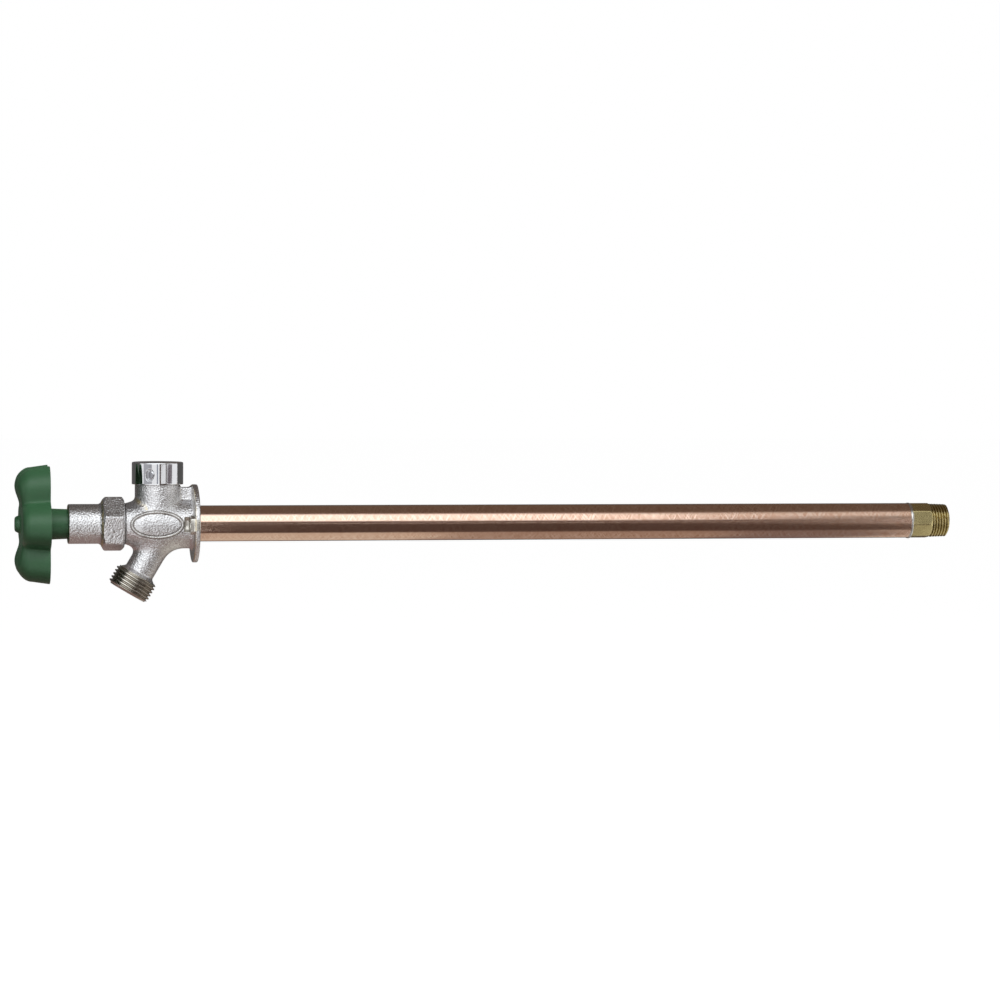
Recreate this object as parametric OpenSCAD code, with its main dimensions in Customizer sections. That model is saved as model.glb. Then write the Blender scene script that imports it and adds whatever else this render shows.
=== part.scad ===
// Frost free sillcock: an outdoor tap whose valve seat sits at the warm end of a long copper tube.
// The origin is the centre of the flange's wall face, on the tube's axis.
// +X runs along the tube into the wall, -X towards the handle, +Z is up. Sizes are in millimetres.
// At rest the valve is closed: the seat washer lies against the seat at the far end.

/* [Wall reach] */
// Distance from the flange's wall face to the wrench section of the inlet fitting
wall_reach = 457.2; // [200:0.1:620]

/* [Copper tube] */
// Outside diameter of the tube
tube_od = 22.225; // [21:0.005:23.5]
// Wall of the tube
tube_wall = 1.143; // [0.8:0.001:1.3]

/* [Body casting] */
// Diameter of the wall flange
flange_d = 48; // [47:0.5:60]
// Thickness of the wall flange
flange_t = 3; // [2:0.1:4.5]
// Distance between the two flange screw holes
screw_spacing = 37.2; // [37:0.1:39.4]
// Diameter of a flange screw hole
screw_hole_d = 5.6; // [4:0.1:6]
// Diameter of the raised pad round a flange screw hole
screw_pad_d = 12; // [9:0.1:12.2]
// Height of that pad in front of the flange
screw_pad_t = 3; // [1:0.1:3.5]
// Diameter of the recess that clears a screw's head
head_recess_d = 12; // [9:0.1:12.2]
// Depth of that recess in front of the pad
head_recess_depth = 2.8; // [1:0.1:4]
// Distance from the wall face to the shoulder behind the bonnet
body_len = 44.6; // [42:0.1:50]
// Diameter of the barrel in the middle
barrel_d = 30.6; // [29:0.1:33]
// Diameter of the barrel at the bonnet
barrel_end_d = 24.6; // [24:0.1:28]
// Length of the neck that the bonnet screws on to
neck_len = 13; // [12:0.1:16]
// Diameter of the neck's thread
neck_d = 23.8; // [22.5:0.1:24]
// Pitch of the neck's thread
neck_pitch = 1.588; // [1:0.001:2]
// Depth of the socket that holds the tube
socket_depth = 13; // [9:0.1:14]
// Diameter of the chamber inside the barrel
chamber_d = 18.8; // [17:0.1:19.4]
// Length of the chamber in front of the tube
chamber_len = 25; // [20:0.1:26]

/* [Tower and gusset] */
// Distance from the wall face to the tower's axis
tower_x = 24.3; // [23:0.1:26]
// Outside diameter of the tower
tower_d = 27.8; // [26.5:0.1:28.4]
// Height of the tower above the tube's axis
tower_h = 34; // [33:0.1:37]
// Diameter of the tower's bore
tower_bore_d = 21.2; // [20.4:0.1:21.6]
// Height of the bore's floor above the tube's axis
tower_floor_z = 11.5; // [11:0.1:12.5]
// Diameter of the port from the chamber up to the tower
port_d = 13; // [10:0.1:14]
// Thickness of the gusset between tower and flange
gusset_t = 9; // [5:0.1:14]
// Height of the gusset's top above the tube's axis
gusset_h = 22.4; // [18:0.1:23]

/* [Outlet] */
// Angle of the outlet forward from straight down
outlet_tilt = 30.5; // [27:0.1:34]
// Distance from the wall face to where the outlet's axis crosses the tube's axis
outlet_x = 18; // [17:0.1:20]
// Length of the outlet from that crossing
outlet_len = 49; // [46:0.1:56]
// Diameter of the outlet's plain neck
outlet_neck_d = 18.4; // [17.6:0.1:20]
// Diameter of the outlet's bore
outlet_bore_d = 14.4; // [13:0.1:14.6]
// Depth of that bore from the outlet's end
outlet_bore_len = 33; // [20:0.5:33]
// Diameter of the port between the chamber and that bore
outlet_port_d = 12.6; // [10:0.1:12.8]
// Outside diameter of the hose thread
hose_d = 26.99; // [26:0.01:28]
// Pitch of the hose thread
hose_pitch = 2.209; // [1.8:0.001:2.4]
// Number of crests on the hose thread
hose_crests = 5; // [3:1:5]

/* [Badge] */
// Length of the bare oval badge on the side of the barrel
badge_w = 32; // [20:0.5:33]
// Height of the badge
badge_h = 16.7; // [10:0.1:18]
// Width of the badge's raised rim
badge_rim = 1.1; // [0.6:0.1:2]
// Height of the rim above the barrel
badge_rise = 0.7; // [0.3:0.1:1.2]

/* [Bonnet] */
// Width of the bonnet's hexagon across its flats
bonnet_af = 30.16; // [29.6:0.01:34]
// Length of the hexagon
bonnet_hex_len = 14.3; // [13.6:0.1:18]
// Turn of the hexagon about the tube's axis
bonnet_turn = 13.5; // [-30:0.5:30]
// Diameter of the bonnet's round barrel
bonnet_d = 24.4; // [23.6:0.1:27]
// Length of the round barrel
bonnet_barrel_len = 19.9; // [18.5:0.1:24]
// Depth of the open mouth that takes the handle's sleeve
mouth_depth = 10.2; // [8:0.1:11]
// Thickness of the wall between the mouth and the packing
bonnet_web = 2; // [1.5:0.1:3]
// Diameter of the packing chamber
packing_d = 17.2; // [15:0.1:18]
// Number of packing rings
packing_count = 3; // [2:1:4]
// Thickness of a packing washer
packing_washer_t = 1.2; // [0.8:0.1:1.6]

/* [Stem] */
// Diameter of the stem where it passes the packing
stem_d = 10; // [9:0.1:11]
// Diameter of the stem's lifting thread
stem_thread_d = 13.9; // [12.6:0.1:15]
// Length of the lifting thread
stem_thread_len = 12; // [9:0.1:12.4]
// Travel of the stem for one turn of the handle
stem_lead = 5.08; // [3:0.01:5.08]
// Turns from closed to fully open
open_turns = 1.5; // [1:0.25:1.5]
// Width across the flats of the square that drives the handle
drive_af = 7; // [6:0.1:7.4]
// Length of that square
drive_len = 14.5; // [10:0.1:15]
// Diameter of the long rod inside the tube
rod_d = 8; // [6:0.1:8.4]
// Depth of the rod's end inside the stem
rod_socket = 10; // [8:0.1:11]
// Diameter of the pin that holds the rod in the stem
rod_pin_d = 2.4; // [2:0.1:3]

/* [Seat end] */
// Diameter of the opening in the seat
seat_d = 11.2; // [9:0.1:12]
// Width of the seat's raised lip
seat_lip_w = 1.6; // [1:0.1:2]
// Height of the seat's raised lip
seat_lip_h = 2; // [1.5:0.1:3]
// Length of the fitting's spigot inside the tube
spigot_len = 12.2; // [8:0.1:16]
// Outside diameter of the seat washer
washer_d = 16; // [15.4:0.1:16.4]
// Thickness of the seat washer
washer_t = 3.2; // [2.4:0.1:4]
// Outside diameter of the washer holder
holder_d = 17.6; // [17.2:0.1:18]
// Number of guide fins on the holder
holder_fins = 3; // [3:1:5]
// Diameter of the screw that holds the seat washer
washer_screw_d = 4; // [3:0.1:4.4]

/* [Inlet fitting] */
// Width of the eight-sided wrench section across its flats
inlet_af = 21.2; // [20:0.1:24]
// Length of the wrench section
inlet_flats_len = 14; // [10:0.1:20]
// Turn of the wrench section about the tube's axis
inlet_turn = -12; // [-22.5:0.5:22.5]
// Outside diameter of the pipe thread at the wrench section
pipe_thread_d = 21.34; // [21:0.01:22]
// Pitch of the pipe thread
pipe_pitch = 1.814; // [1.5:0.001:2]
// Number of crests on the pipe thread
pipe_crests = 6; // [5:1:8]
// Bore of the socket for a soldered copper tube
sweat_d = 15.95; // [15:0.01:16.2]
// Depth of that socket
sweat_depth = 12.7; // [10:0.1:14]
// Bore of the waterway behind the socket
waterway_d = 12.7; // [11:0.1:14]

/* [Vacuum breaker] */
// Air gap between the tower and the cap's skirt
cap_gap = 0.45; // [0.3:0.05:1]
// Height of the cap
cap_h = 13.7; // [12.5:0.1:13.8]
// Height of the cap's top above the tower's top edge
cap_lift = 4; // [3.4:0.1:4.4]
// Wall of the cap
cap_wall = 1.4; // [1:0.1:1.5]
// Thickness of the cap's top
cap_top_t = 1.6; // [1:0.1:2]
// Diameter of the cap's locking screw
cap_screw_d = 4.4; // [3.4:0.1:5]
// Depth of that screw's axis below the tower's top edge
cap_screw_drop = 3.7; // [3.2:0.1:4]
// Angle of that screw round the cap, from the side towards the handle
cap_screw_turn = 22.5; // [0:0.5:60]
// Thickness of the guide disc under the poppet
guide_t = 2.5; // [2:0.1:3]
// Diameter of the poppet's disc
poppet_d = 17.2; // [15:0.1:18]
// Thickness of the poppet's disc
poppet_t = 2.5; // [2:0.1:3]
// Diameter of the poppet's guide stem
poppet_stem_d = 4; // [3:0.1:5]
// Thickness of the poppet's rubber seal
poppet_seal_t = 1.6; // [1.2:0.1:2]
// How far the poppet rises when the water is on
poppet_rise = 2.7; // [2:0.1:2.8]
// Diameter of the air hole in the vent seat
vent_d = 11; // [9:0.1:12]
// Height of the vent seat ring
vent_ring_h = 8; // [7:0.1:8.4]
// Thickness of the o-ring
o_ring_t = 1.8; // [1.5:0.1:2]

/* [Handle] */
// Number of lobes on the handle
lobes = 6; // [5:1:8]
// Distance from the handle's axis to the centre of a lobe
lobe_pitch_r = 26.5; // [24:0.1:28]
// Radius of a lobe at the back rim
lobe_r = 12.9; // [11.5:0.1:13.5]
// Radius of the valleys between the lobes at the back rim
valley_r = 29; // [27:0.1:31]
// Depth of the handle from its back rim to the flat of its front
handle_depth = 17.1; // [14:0.1:20]
// Extra height of the four domed lobes
dome_h = 3; // [0:0.1:4]
// Radius of the rounded shoulder between side and front
shoulder_r = 6.5; // [4:0.1:8]
// Slope of the handle's side, in degrees
handle_draft = 8.3; // [3:0.1:10]
// Wall of the handle's skirt and front
handle_wall = 2.6; // [2:0.1:3.4]
// Diameter of the handle's sleeve at the handle
sleeve_d = 19.2; // [18.2:0.1:20]
// Diameter of the sleeve at the bonnet
sleeve_end_d = 18.2; // [17.4:0.1:18.4]
// Length of sleeve in sight between the bonnet and the handle
sleeve_sight = 11.5; // [10:0.1:16]
// Diameter of the boss at the middle of the front, at its foot
boss_d = 10.8; // [10:0.1:14]
// Diameter of the boss at its face
boss_face_d = 8; // [7.6:0.1:9.6]
// Height of the boss above the flat of the front
boss_h = 3.5; // [3:0.1:5]
// Diameter of the handle screw's thread
handle_screw_d = 3.8; // [3:0.1:4.2]
// Diameter of the handle screw's head
handle_head_d = 6; // [5.6:0.1:6.2]

/* [Fits] */
// Radial clearance of a part that turns or slides in another
run_clear = 0.05; // [0.03:0.01:0.08]
// Radial clearance of a part that is soldered or screwed into another
fixed_clear = 0.08; // [0.05:0.01:0.15]
// Gap that a piece keeps at rest from the stop it lies against
rest_gap = 0.3; // [0.1:0.05:0.4]

/* [Hidden] */

round_fn = 96;
small_fn = 48;
// Length by which a cut runs past the face that it opens
over = 1;

plate_grey = "#b7b6b2";
chrome_grey = "#d9dadd";
copper = "#a87458";
solder = "#c9c9c6";
brass = "#b9a65a";
green = "#2f6b45";
steel = "#8d9094";
rubber = "#26282a";
graphite = "#3b3c3e";
white_plastic = "#dcdad2";

// Thread forms: sixty degree flanks, drawn as closed rings
thread_depth_share = 0.62;
crest_share = 0.125;
flank_slope = tan(30);

function thread_depth(pitch) = thread_depth_share * pitch;

// Crests from x0 on, each a trapezium on the root; taper is the loss of radius per millimetre
function crests(x0, crest_r, pitch, count, taper = 0) =
    let (depth = thread_depth(pitch), flank = depth * flank_slope, flat = crest_share * pitch)
    [for (i = [0:count - 1])
        for (p = [[0, 0], [flank, 1], [flank + flat, 1], [2 * flank + flat, 0]])
            let (x = x0 + i * pitch + p[0])
            [x, crest_r - depth * (1 - p[1]) - taper * (x - x0)]];

// Tube and its seats
tube_r = tube_od / 2;
tube_in_r = tube_r - tube_wall;
socket_r = tube_r + fixed_clear;
solder_w = 0.7;
bead_w = 0.6;

// Body
flange_r = flange_d / 2;
barrel_r = barrel_d / 2;
barrel_end_r = barrel_end_d / 2;
neck_end_x = -(body_len + neck_len);
chamber_end_x = -(socket_depth + chamber_len);
stem_bore_r = stem_thread_d / 2 + run_clear;
flange_root = 3.4;
root_run = 4.6;
barrel_ramp = 6;
screw_y = screw_spacing / 2;
pad_face_x = -(flange_t + screw_pad_t);

// Tower stack, from its floor up
guide_top_z = tower_floor_z + guide_t;
poppet_z = guide_top_z + rest_gap;
poppet_top_z = poppet_z + poppet_t;
seal_top_z = poppet_top_z + poppet_seal_t;
vent_lip_h = 1;
vent_lip_z = seal_top_z + poppet_rise + rest_gap;
vent_ring_z = vent_lip_z + vent_lip_h;
insert_r = tower_bore_d / 2 - fixed_clear;
poppet_boss_r = poppet_d / 4;
cap_top_z = tower_h + cap_lift;
cap_z = cap_top_z - cap_h;
cap_in_r = tower_d / 2 + cap_gap;
cap_d = 2 * (cap_in_r + cap_wall);
cap_edge = 0.9;
cap_screw_z = tower_h - cap_screw_drop;
cap_screw_tip_gap = 0.7;
cap_hole_w = 5.8;
cap_hole_h = 7.7;
cap_screw_sink = 0.7;

// Bonnet and packing
bonnet_gap = 0.4;
bonnet_x = -(body_len + bonnet_gap);
hex_end_x = bonnet_x - bonnet_hex_len;
bonnet_end_x = hex_end_x - bonnet_barrel_len;
mouth_x = bonnet_end_x + mouth_depth;
mouth_r = sleeve_d / 2 + 0.4;
packing_end_x = mouth_x + bonnet_web;
packing_start_x = neck_end_x - packing_washer_t;
packing_room = packing_start_x - packing_end_x - packing_washer_t;
packing_ring_len = packing_room / packing_count;
stem_hole_r = stem_d / 2 + run_clear;

// Stem and rod. The sleeve's end stays clear of the mouth's floor when the valve is closed,
// and the thread stays clear of the packing washer when it is fully open
sleeve_gap = 0.6;
open_room = 3;
boss_depth = 8;
stem_travel = stem_lead * open_turns;
sleeve_end_x = mouth_x - sleeve_gap;
handle_back_x = bonnet_end_x - sleeve_sight;
handle_flat_x = handle_back_x - handle_depth;
boss_face_x = handle_flat_x - boss_h;
stem_end_x = boss_face_x + boss_depth;
drive_x = stem_end_x + drive_len;
stem_thread_x = neck_end_x + stem_travel + open_room;
stem_tail_x = stem_thread_x + stem_thread_len;
rod_start_x = stem_tail_x - rod_socket;

// Seat end
spigot_x = wall_reach - spigot_len;
seat_x = spigot_x - seat_lip_h;
seat_gap = 0.1;
washer_x = seat_x - seat_gap - washer_t;
holder_rim = 2;
holder_floor = 5;
holder_floor_x = washer_x - holder_floor;
clip_room = 5.6;
collar_t = 3.4;
collar_x = holder_floor_x - clip_room - collar_t;
holder_r = holder_d / 2;
clip_t = 1.2;
clip_x = collar_x + collar_t + rest_gap;
rod_end_x = holder_floor_x - 1;
rod_groove = 0.5;
collar_r = holder_r - 1.2;
guide_r = tube_in_r - run_clear;
fin_w = 3;
fin_len = 8;

// Inlet fitting
spigot_r = tube_in_r - run_clear;
inlet_sides = 8;
flats_end_x = wall_reach + inlet_flats_len;
inlet_end_x = flats_end_x + pipe_crests * pipe_pitch + 0.6;
pipe_taper = 1 / 32;

// Handle
screw_head_h = 2.1;
handle_screw_reach = 9;
lock_washer_t = 0.6;
head_floor_x = boss_face_x + 2.9;

module along_x() {
    rotate([0, 90, 0])
        children();
}

// A solid of revolution about the tube's axis from [x, radius] points
module turned(points, fn = round_fn) {
    along_x()
        rotate_extrude($fn = fn)
            polygon([for (p = points) [p[1], p[0]]]);
}

// A straight round bar along the tube's axis
module bar(x0, x1, r, fn = round_fn) {
    translate([x0, 0, 0])
        along_x()
            cylinder(h = x1 - x0, r = r, $fn = fn);
}

// A flat ring along the tube's axis
module ring(x0, x1, outer_r, inner_r) {
    difference() {
        bar(x0, x1, outer_r);
        bar(x0 - over, x1 + over, inner_r);
    }
}

// Local z runs down the outlet from where it crosses the tube's axis
module along_outlet() {
    translate([-outlet_x, 0, 0])
        rotate([0, 180 + outlet_tilt, 0])
            children();
}

// Local z runs up the tower from the tube's axis
module at_tower() {
    translate([-tower_x, 0, 0])
        children();
}

// Local z runs outwards along the cap's locking screw
module along_cap_screw() {
    translate([-tower_x, 0, cap_screw_z])
        rotate([0, 0, -cap_screw_turn])
            rotate([90, 0, 0])
                children();
}

// Wrench flats from x0 to x1, one of them facing turn degrees above +Y. At each end a cone starts at
// radius low and reaches the corners run further in
module wrench_flats(x0, x1, across_flats, sides, turn, low, run) {
    corner_r = across_flats / 2 / cos(180 / sides);
    past = 1.2;
    intersection() {
        translate([x0, 0, 0])
            along_x()
                rotate([0, 0, turn + 90 - 180 / sides])
                    cylinder(h = x1 - x0, r = corner_r, $fn = sides);
        turned([[x0, 0], [x0, low[0]], [x0 + past * run[0], low[0] + past * (corner_r - low[0])],
                [x1 - past * run[1], low[1] + past * (corner_r - low[1])], [x1, low[1]], [x1, 0]]);
    }
}

// The barrel swells from the bonnet to the middle, then flares into the flange
function barrel_swell(grow) =
    let (shoulder_x = -body_len, ramp_x = shoulder_x + barrel_ramp, root_x = -(flange_t + root_run))
    concat(
        [[shoulder_x, 0], [shoulder_x, barrel_end_r + grow]],
        [[ramp_x, barrel_r + grow - 0.9], [ramp_x + 4, barrel_r + grow]],
        [for (a = [0:15:90])
            [root_x + root_run * sin(a), barrel_r + grow + flange_root * (1 - cos(a))]]
    );

module body_barrel() {
    turned(concat(
        barrel_swell(0),
        [[-flange_t, flange_r - 0.5], [-flange_t + 0.5, flange_r], [-0.5, flange_r], [0, flange_r - 0.5]],
        [[0, 0]]
    ));
}

module body_neck() {
    root_r = neck_d / 2 - thread_depth(neck_pitch);
    count = floor((neck_len - 1.2) / neck_pitch);
    turned(concat(
        [[neck_end_x, 0], [neck_end_x, root_r]],
        crests(neck_end_x + 0.4, neck_d / 2, neck_pitch, count),
        [[-body_len + over, root_r], [-body_len + over, 0]]
    ));
}

module outlet_outside() {
    hose_r = hose_d / 2;
    neck_r = outlet_neck_d / 2;
    thread_run = hose_crests * hose_pitch + 0.5;
    thread_z = outlet_len - thread_run;
    root_r = hose_r - thread_depth(hose_pitch);
    flare_z = barrel_r - 3;
    profile = concat(
        [[0, 0], [0, neck_r + 1.2], [flare_z, neck_r + 0.6], [flare_z + 6, neck_r]],
        [[thread_z - 3.2, neck_r], [thread_z - 1.4, neck_r + 0.8], [thread_z - 0.2, root_r]],
        crests(thread_z, hose_r, hose_pitch, hose_crests),
        [[outlet_len - 0.2, root_r], [outlet_len, root_r - 0.4], [outlet_len, 0]]
    );
    along_outlet()
        rotate_extrude($fn = round_fn)
            polygon([for (p = profile) [p[1], p[0]]]);
}

module gusset() {
    reach = tower_x - flange_t / 2;
    translate([-tower_x, -gusset_t / 2, 0])
        cube([reach, gusset_t, gusset_h]);
}

function oval(w, h, steps = 48) = [for (i = [0:steps - 1])
    [w / 2 * cos(360 * i / steps), h / 2 * sin(360 * i / steps)]];

// The badge's rim follows the barrel's round side; its field is left bare
module badge_ring() {
    badge_x = tower_x + 1.3;
    intersection() {
        translate([-badge_x, 0, 0])
            rotate([90, 0, 0])
                linear_extrude(height = flange_r)
                    difference() {
                        polygon(oval(badge_w, badge_h));
                        polygon(oval(badge_w - 2 * badge_rim, badge_h - 2 * badge_rim));
                    }
        turned(concat(barrel_swell(badge_rise), [[-flange_t, 0]]));
    }
}

module body_waterways() {
    bar(-socket_depth, over, socket_r);
    turned([[-solder_w, 0], [-solder_w, socket_r], [0, socket_r + solder_w],
            [over, socket_r + solder_w], [over, 0]]);
    bar(chamber_end_x, -socket_depth + over, chamber_d / 2);
    bar(neck_end_x - over, chamber_end_x + over, stem_bore_r);
    at_tower()
        cylinder(h = tower_floor_z + over, r = port_d / 2, $fn = small_fn);
    at_tower()
        translate([0, 0, tower_floor_z])
            cylinder(h = tower_h, r = tower_bore_d / 2, $fn = round_fn);
    along_outlet()
        cylinder(h = outlet_len, r = outlet_port_d / 2, $fn = round_fn);
    along_outlet()
        translate([0, 0, outlet_len - outlet_bore_len])
            cylinder(h = outlet_bore_len + over, r = outlet_bore_d / 2, $fn = round_fn);
}

// A pad thickens the flange under each screw's head and stops at the flange's edge
module flange_pads() {
    intersection() {
        for (side = [-1, 1])
            translate([0, side * screw_y, 0])
                bar(pad_face_x, -flange_t + over, screw_pad_d / 2, small_fn);
        bar(pad_face_x - over, 0, flange_r - 0.5);
    }
}

module flange_screw_cuts() {
    for (side = [-1, 1])
        translate([0, side * screw_y, 0]) {
            bar(pad_face_x - over, over, screw_hole_d / 2, small_fn);
            bar(pad_face_x - head_recess_depth, pad_face_x, head_recess_d / 2, small_fn);
        }
}

// Air slots in the tower's top edge lead to the gap under the cap
module tower_vents() {
    vent_w = 3;
    vent_deep = 2;
    at_tower()
        for (turn = [45:90:135])
            rotate([0, 0, turn])
                translate([-tower_d, -vent_w / 2, tower_h - vent_deep])
                    cube([2 * tower_d, vent_w, vent_deep + over]);
}

module hydrant_body() {
    color(plate_grey)
        difference() {
            union() {
                body_barrel();
                body_neck();
                at_tower()
                    cylinder(h = tower_h, r = tower_d / 2, $fn = round_fn);
                outlet_outside();
                gusset();
                flange_pads();
                badge_ring();
            }
            body_waterways();
            flange_screw_cuts();
            tower_vents();
            along_cap_screw()
                cylinder(h = tower_d, r = cap_screw_d / 2 + fixed_clear, $fn = small_fn);
        }
}

module supply_tube() {
    color(copper)
        ring(-socket_depth, wall_reach, tube_r, tube_in_r);
}

// Solder fills the chamfer round the tube, a little behind the wall face
module tube_solder_ring() {
    solder_back = 0.05;
    color(solder)
        turned([[-solder_w, tube_r], [-solder_w, socket_r],
                [-solder_back, socket_r + solder_w - solder_back], [-solder_back, tube_r]]);
}

// A thin bead at the fitting's end of the tube, in the groove behind the wrench section
module inlet_solder_ring() {
    color(solder)
        turned([[wall_reach, spigot_r], [wall_reach, tube_r - 0.1],
                [wall_reach + bead_w, tube_r - 0.5], [wall_reach + bead_w, spigot_r]]);
}

module inlet_fitting() {
    flats_x = wall_reach + bead_w;
    flat_r = inlet_af / 2;
    root_r = pipe_thread_d / 2 - thread_depth(pipe_pitch);
    seat_r = seat_d / 2;
    waterway_r = waterway_d / 2;
    sweat_x = inlet_end_x - sweat_depth;
    color(brass)
        difference() {
            union() {
                bar(spigot_x, flats_x + over, spigot_r);
                turned([[seat_x, 0], [seat_x, seat_r + seat_lip_w], [spigot_x, seat_r + seat_lip_w + 0.4],
                        [spigot_x + over, seat_r + seat_lip_w + 0.4], [spigot_x + over, 0]]);
                wrench_flats(flats_x, flats_end_x, inlet_af, inlet_sides, inlet_turn,
                             low = [flat_r + 0.3, flat_r - 0.2], run = [0.6, 1.5]);
                turned(concat(
                    [[flats_end_x - over, 0], [flats_end_x - over, root_r]],
                    crests(flats_end_x + 0.2, pipe_thread_d / 2, pipe_pitch, pipe_crests, pipe_taper),
                    [[inlet_end_x, root_r - 0.6], [inlet_end_x, 0]]
                ));
            }
            bar(seat_x - over, spigot_x + over, seat_r);
            bar(spigot_x, sweat_x + over, waterway_r);
            bar(sweat_x, inlet_end_x + over, sweat_d / 2);
        }
}

// The bonnet is a packing nut: a hexagon, a round barrel, and a mouth for the handle's sleeve
module bonnet_nut() {
    barrel_out_r = bonnet_d / 2;
    color(plate_grey)
        difference() {
            union() {
                wrench_flats(hex_end_x, bonnet_x, bonnet_af, 6, bonnet_turn,
                             low = [barrel_out_r + 0.3, bonnet_af / 2 - 0.3], run = [2.6, 1.4]);
                turned([[bonnet_end_x, 0], [bonnet_end_x, barrel_out_r - 0.9],
                        [bonnet_end_x + 0.3, barrel_out_r - 0.3], [bonnet_end_x + 0.9, barrel_out_r],
                        [hex_end_x + over, barrel_out_r], [hex_end_x + over, 0]]);
            }
            bar(packing_start_x, bonnet_x + over, neck_d / 2 + fixed_clear);
            bar(packing_end_x, packing_start_x + over, packing_d / 2);
            bar(mouth_x - over, packing_end_x + over, stem_hole_r, small_fn);
            bar(bonnet_end_x - over, mouth_x, mouth_r);
        }
}

// Brass washer between the neck's end and the bonnet's shoulder
module packing_washer() {
    color(brass)
        ring(packing_start_x, neck_end_x, neck_d / 2, stem_hole_r);
}

module packing_rings() {
    seam = 0.1;
    color(graphite)
        for (i = [0:packing_count - 1])
            ring(packing_end_x + packing_washer_t + i * packing_ring_len,
                 packing_end_x + packing_washer_t + (i + 1) * packing_ring_len - seam,
                 packing_d / 2, stem_hole_r);
}

module packing_gland() {
    color(brass)
        ring(packing_end_x, packing_end_x + packing_washer_t, packing_d / 2 - fixed_clear, stem_hole_r);
}

// Disc with a middle hole for the poppet's stem and a ring of flow holes
module vb_guide() {
    flow_r = 2.1;
    flow_pitch_r = insert_r * 0.56;
    color(white_plastic)
        at_tower()
            difference() {
                translate([0, 0, tower_floor_z])
                    cylinder(h = guide_t, r = insert_r, $fn = round_fn);
                translate([0, 0, tower_floor_z - over])
                    cylinder(h = guide_t + 2 * over, r = poppet_stem_d / 2 + run_clear, $fn = small_fn);
                for (turn = [0:60:300])
                    rotate([0, 0, turn])
                        translate([flow_pitch_r, 0, tower_floor_z - over])
                            cylinder(h = guide_t + 2 * over, r = flow_r, $fn = small_fn);
            }
}

module vb_poppet() {
    stem_drop = 3;
    stem_len = poppet_z - tower_floor_z + stem_drop + over;
    color(white_plastic)
        at_tower()
            union() {
                translate([0, 0, poppet_z])
                    cylinder(h = poppet_t, r = poppet_d / 2, $fn = round_fn);
                translate([0, 0, tower_floor_z - stem_drop])
                    cylinder(h = stem_len, r = poppet_stem_d / 2, $fn = small_fn);
                translate([0, 0, poppet_top_z - over])
                    cylinder(h = poppet_seal_t + over - 0.3, r = poppet_boss_r, $fn = small_fn);
            }
}

module vb_poppet_seal() {
    color(rubber)
        at_tower()
            difference() {
                translate([0, 0, poppet_top_z])
                    cylinder(h = poppet_seal_t, r = poppet_d / 2 - 0.5, $fn = round_fn);
                translate([0, 0, poppet_top_z - over])
                    cylinder(h = poppet_seal_t + 2 * over, r = poppet_boss_r + 0.02, $fn = small_fn);
            }
}

// Ring with a lip that the seal closes against, and a groove for the o-ring
module vb_vent_seat() {
    vent_r = vent_d / 2;
    lip_w = 1.4;
    groove_z = vent_ring_z + vent_ring_h / 2;
    groove_half = o_ring_t / 2 + 0.2;
    color(brass)
        at_tower()
            difference() {
                union() {
                    translate([0, 0, vent_ring_z])
                        cylinder(h = vent_ring_h, r = insert_r, $fn = round_fn);
                    translate([0, 0, vent_lip_z])
                        cylinder(h = vent_lip_h + over, r = vent_r + lip_w, $fn = round_fn);
                }
                translate([0, 0, vent_lip_z - over])
                    cylinder(h = vent_ring_h + vent_lip_h + 2 * over, r = vent_r, $fn = round_fn);
                rotate_extrude($fn = round_fn)
                    translate([insert_r - o_ring_t, groove_z - groove_half])
                        square([o_ring_t + over, 2 * groove_half]);
            }
}

module vb_o_ring() {
    ring_r = tower_bore_d / 2 - o_ring_t / 2 - 0.05;
    color(rubber)
        at_tower()
            translate([0, 0, vent_ring_z + vent_ring_h / 2])
                rotate_extrude($fn = round_fn)
                    translate([ring_r, 0])
                        circle(r = o_ring_t / 2 - 0.05, $fn = small_fn);
}

// Upturned cup that stands on the tower's top edge and leaves an air gap round it
module vb_cap() {
    cap_r = cap_d / 2;
    foot_w = 2;
    edge = [for (a = [0:15:90])
        [cap_r - cap_edge + cap_edge * cos(a), cap_top_z - cap_edge + cap_edge * sin(a)]];
    color(chrome_grey)
        difference() {
            at_tower()
                rotate_extrude($fn = round_fn)
                    polygon(concat(
                        [[cap_r - 0.4, cap_z], [cap_r, cap_z + 0.4]],
                        edge,
                        [[0, cap_top_z], [0, cap_top_z - cap_top_t]],
                        [[tower_d / 2 - foot_w, cap_top_z - cap_top_t], [tower_d / 2 - foot_w, tower_h]],
                        [[tower_d / 2 - 0.4, tower_h], [tower_d / 2 - 0.4, cap_top_z - cap_top_t]],
                        [[cap_in_r, cap_top_z - cap_top_t], [cap_in_r, cap_z]]
                    ));
            along_cap_screw()
                for (side = [-1, 1])
                    translate([0, side * (cap_hole_h - cap_hole_w) / 2, 0])
                        cylinder(h = cap_d, r = cap_hole_w / 2, $fn = small_fn);
            along_cap_screw()
                translate([-cap_hole_w / 2, -(cap_hole_h - cap_hole_w) / 2, 0])
                    cube([cap_hole_w, cap_hole_h - cap_hole_w, cap_d]);
        }
}

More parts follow.
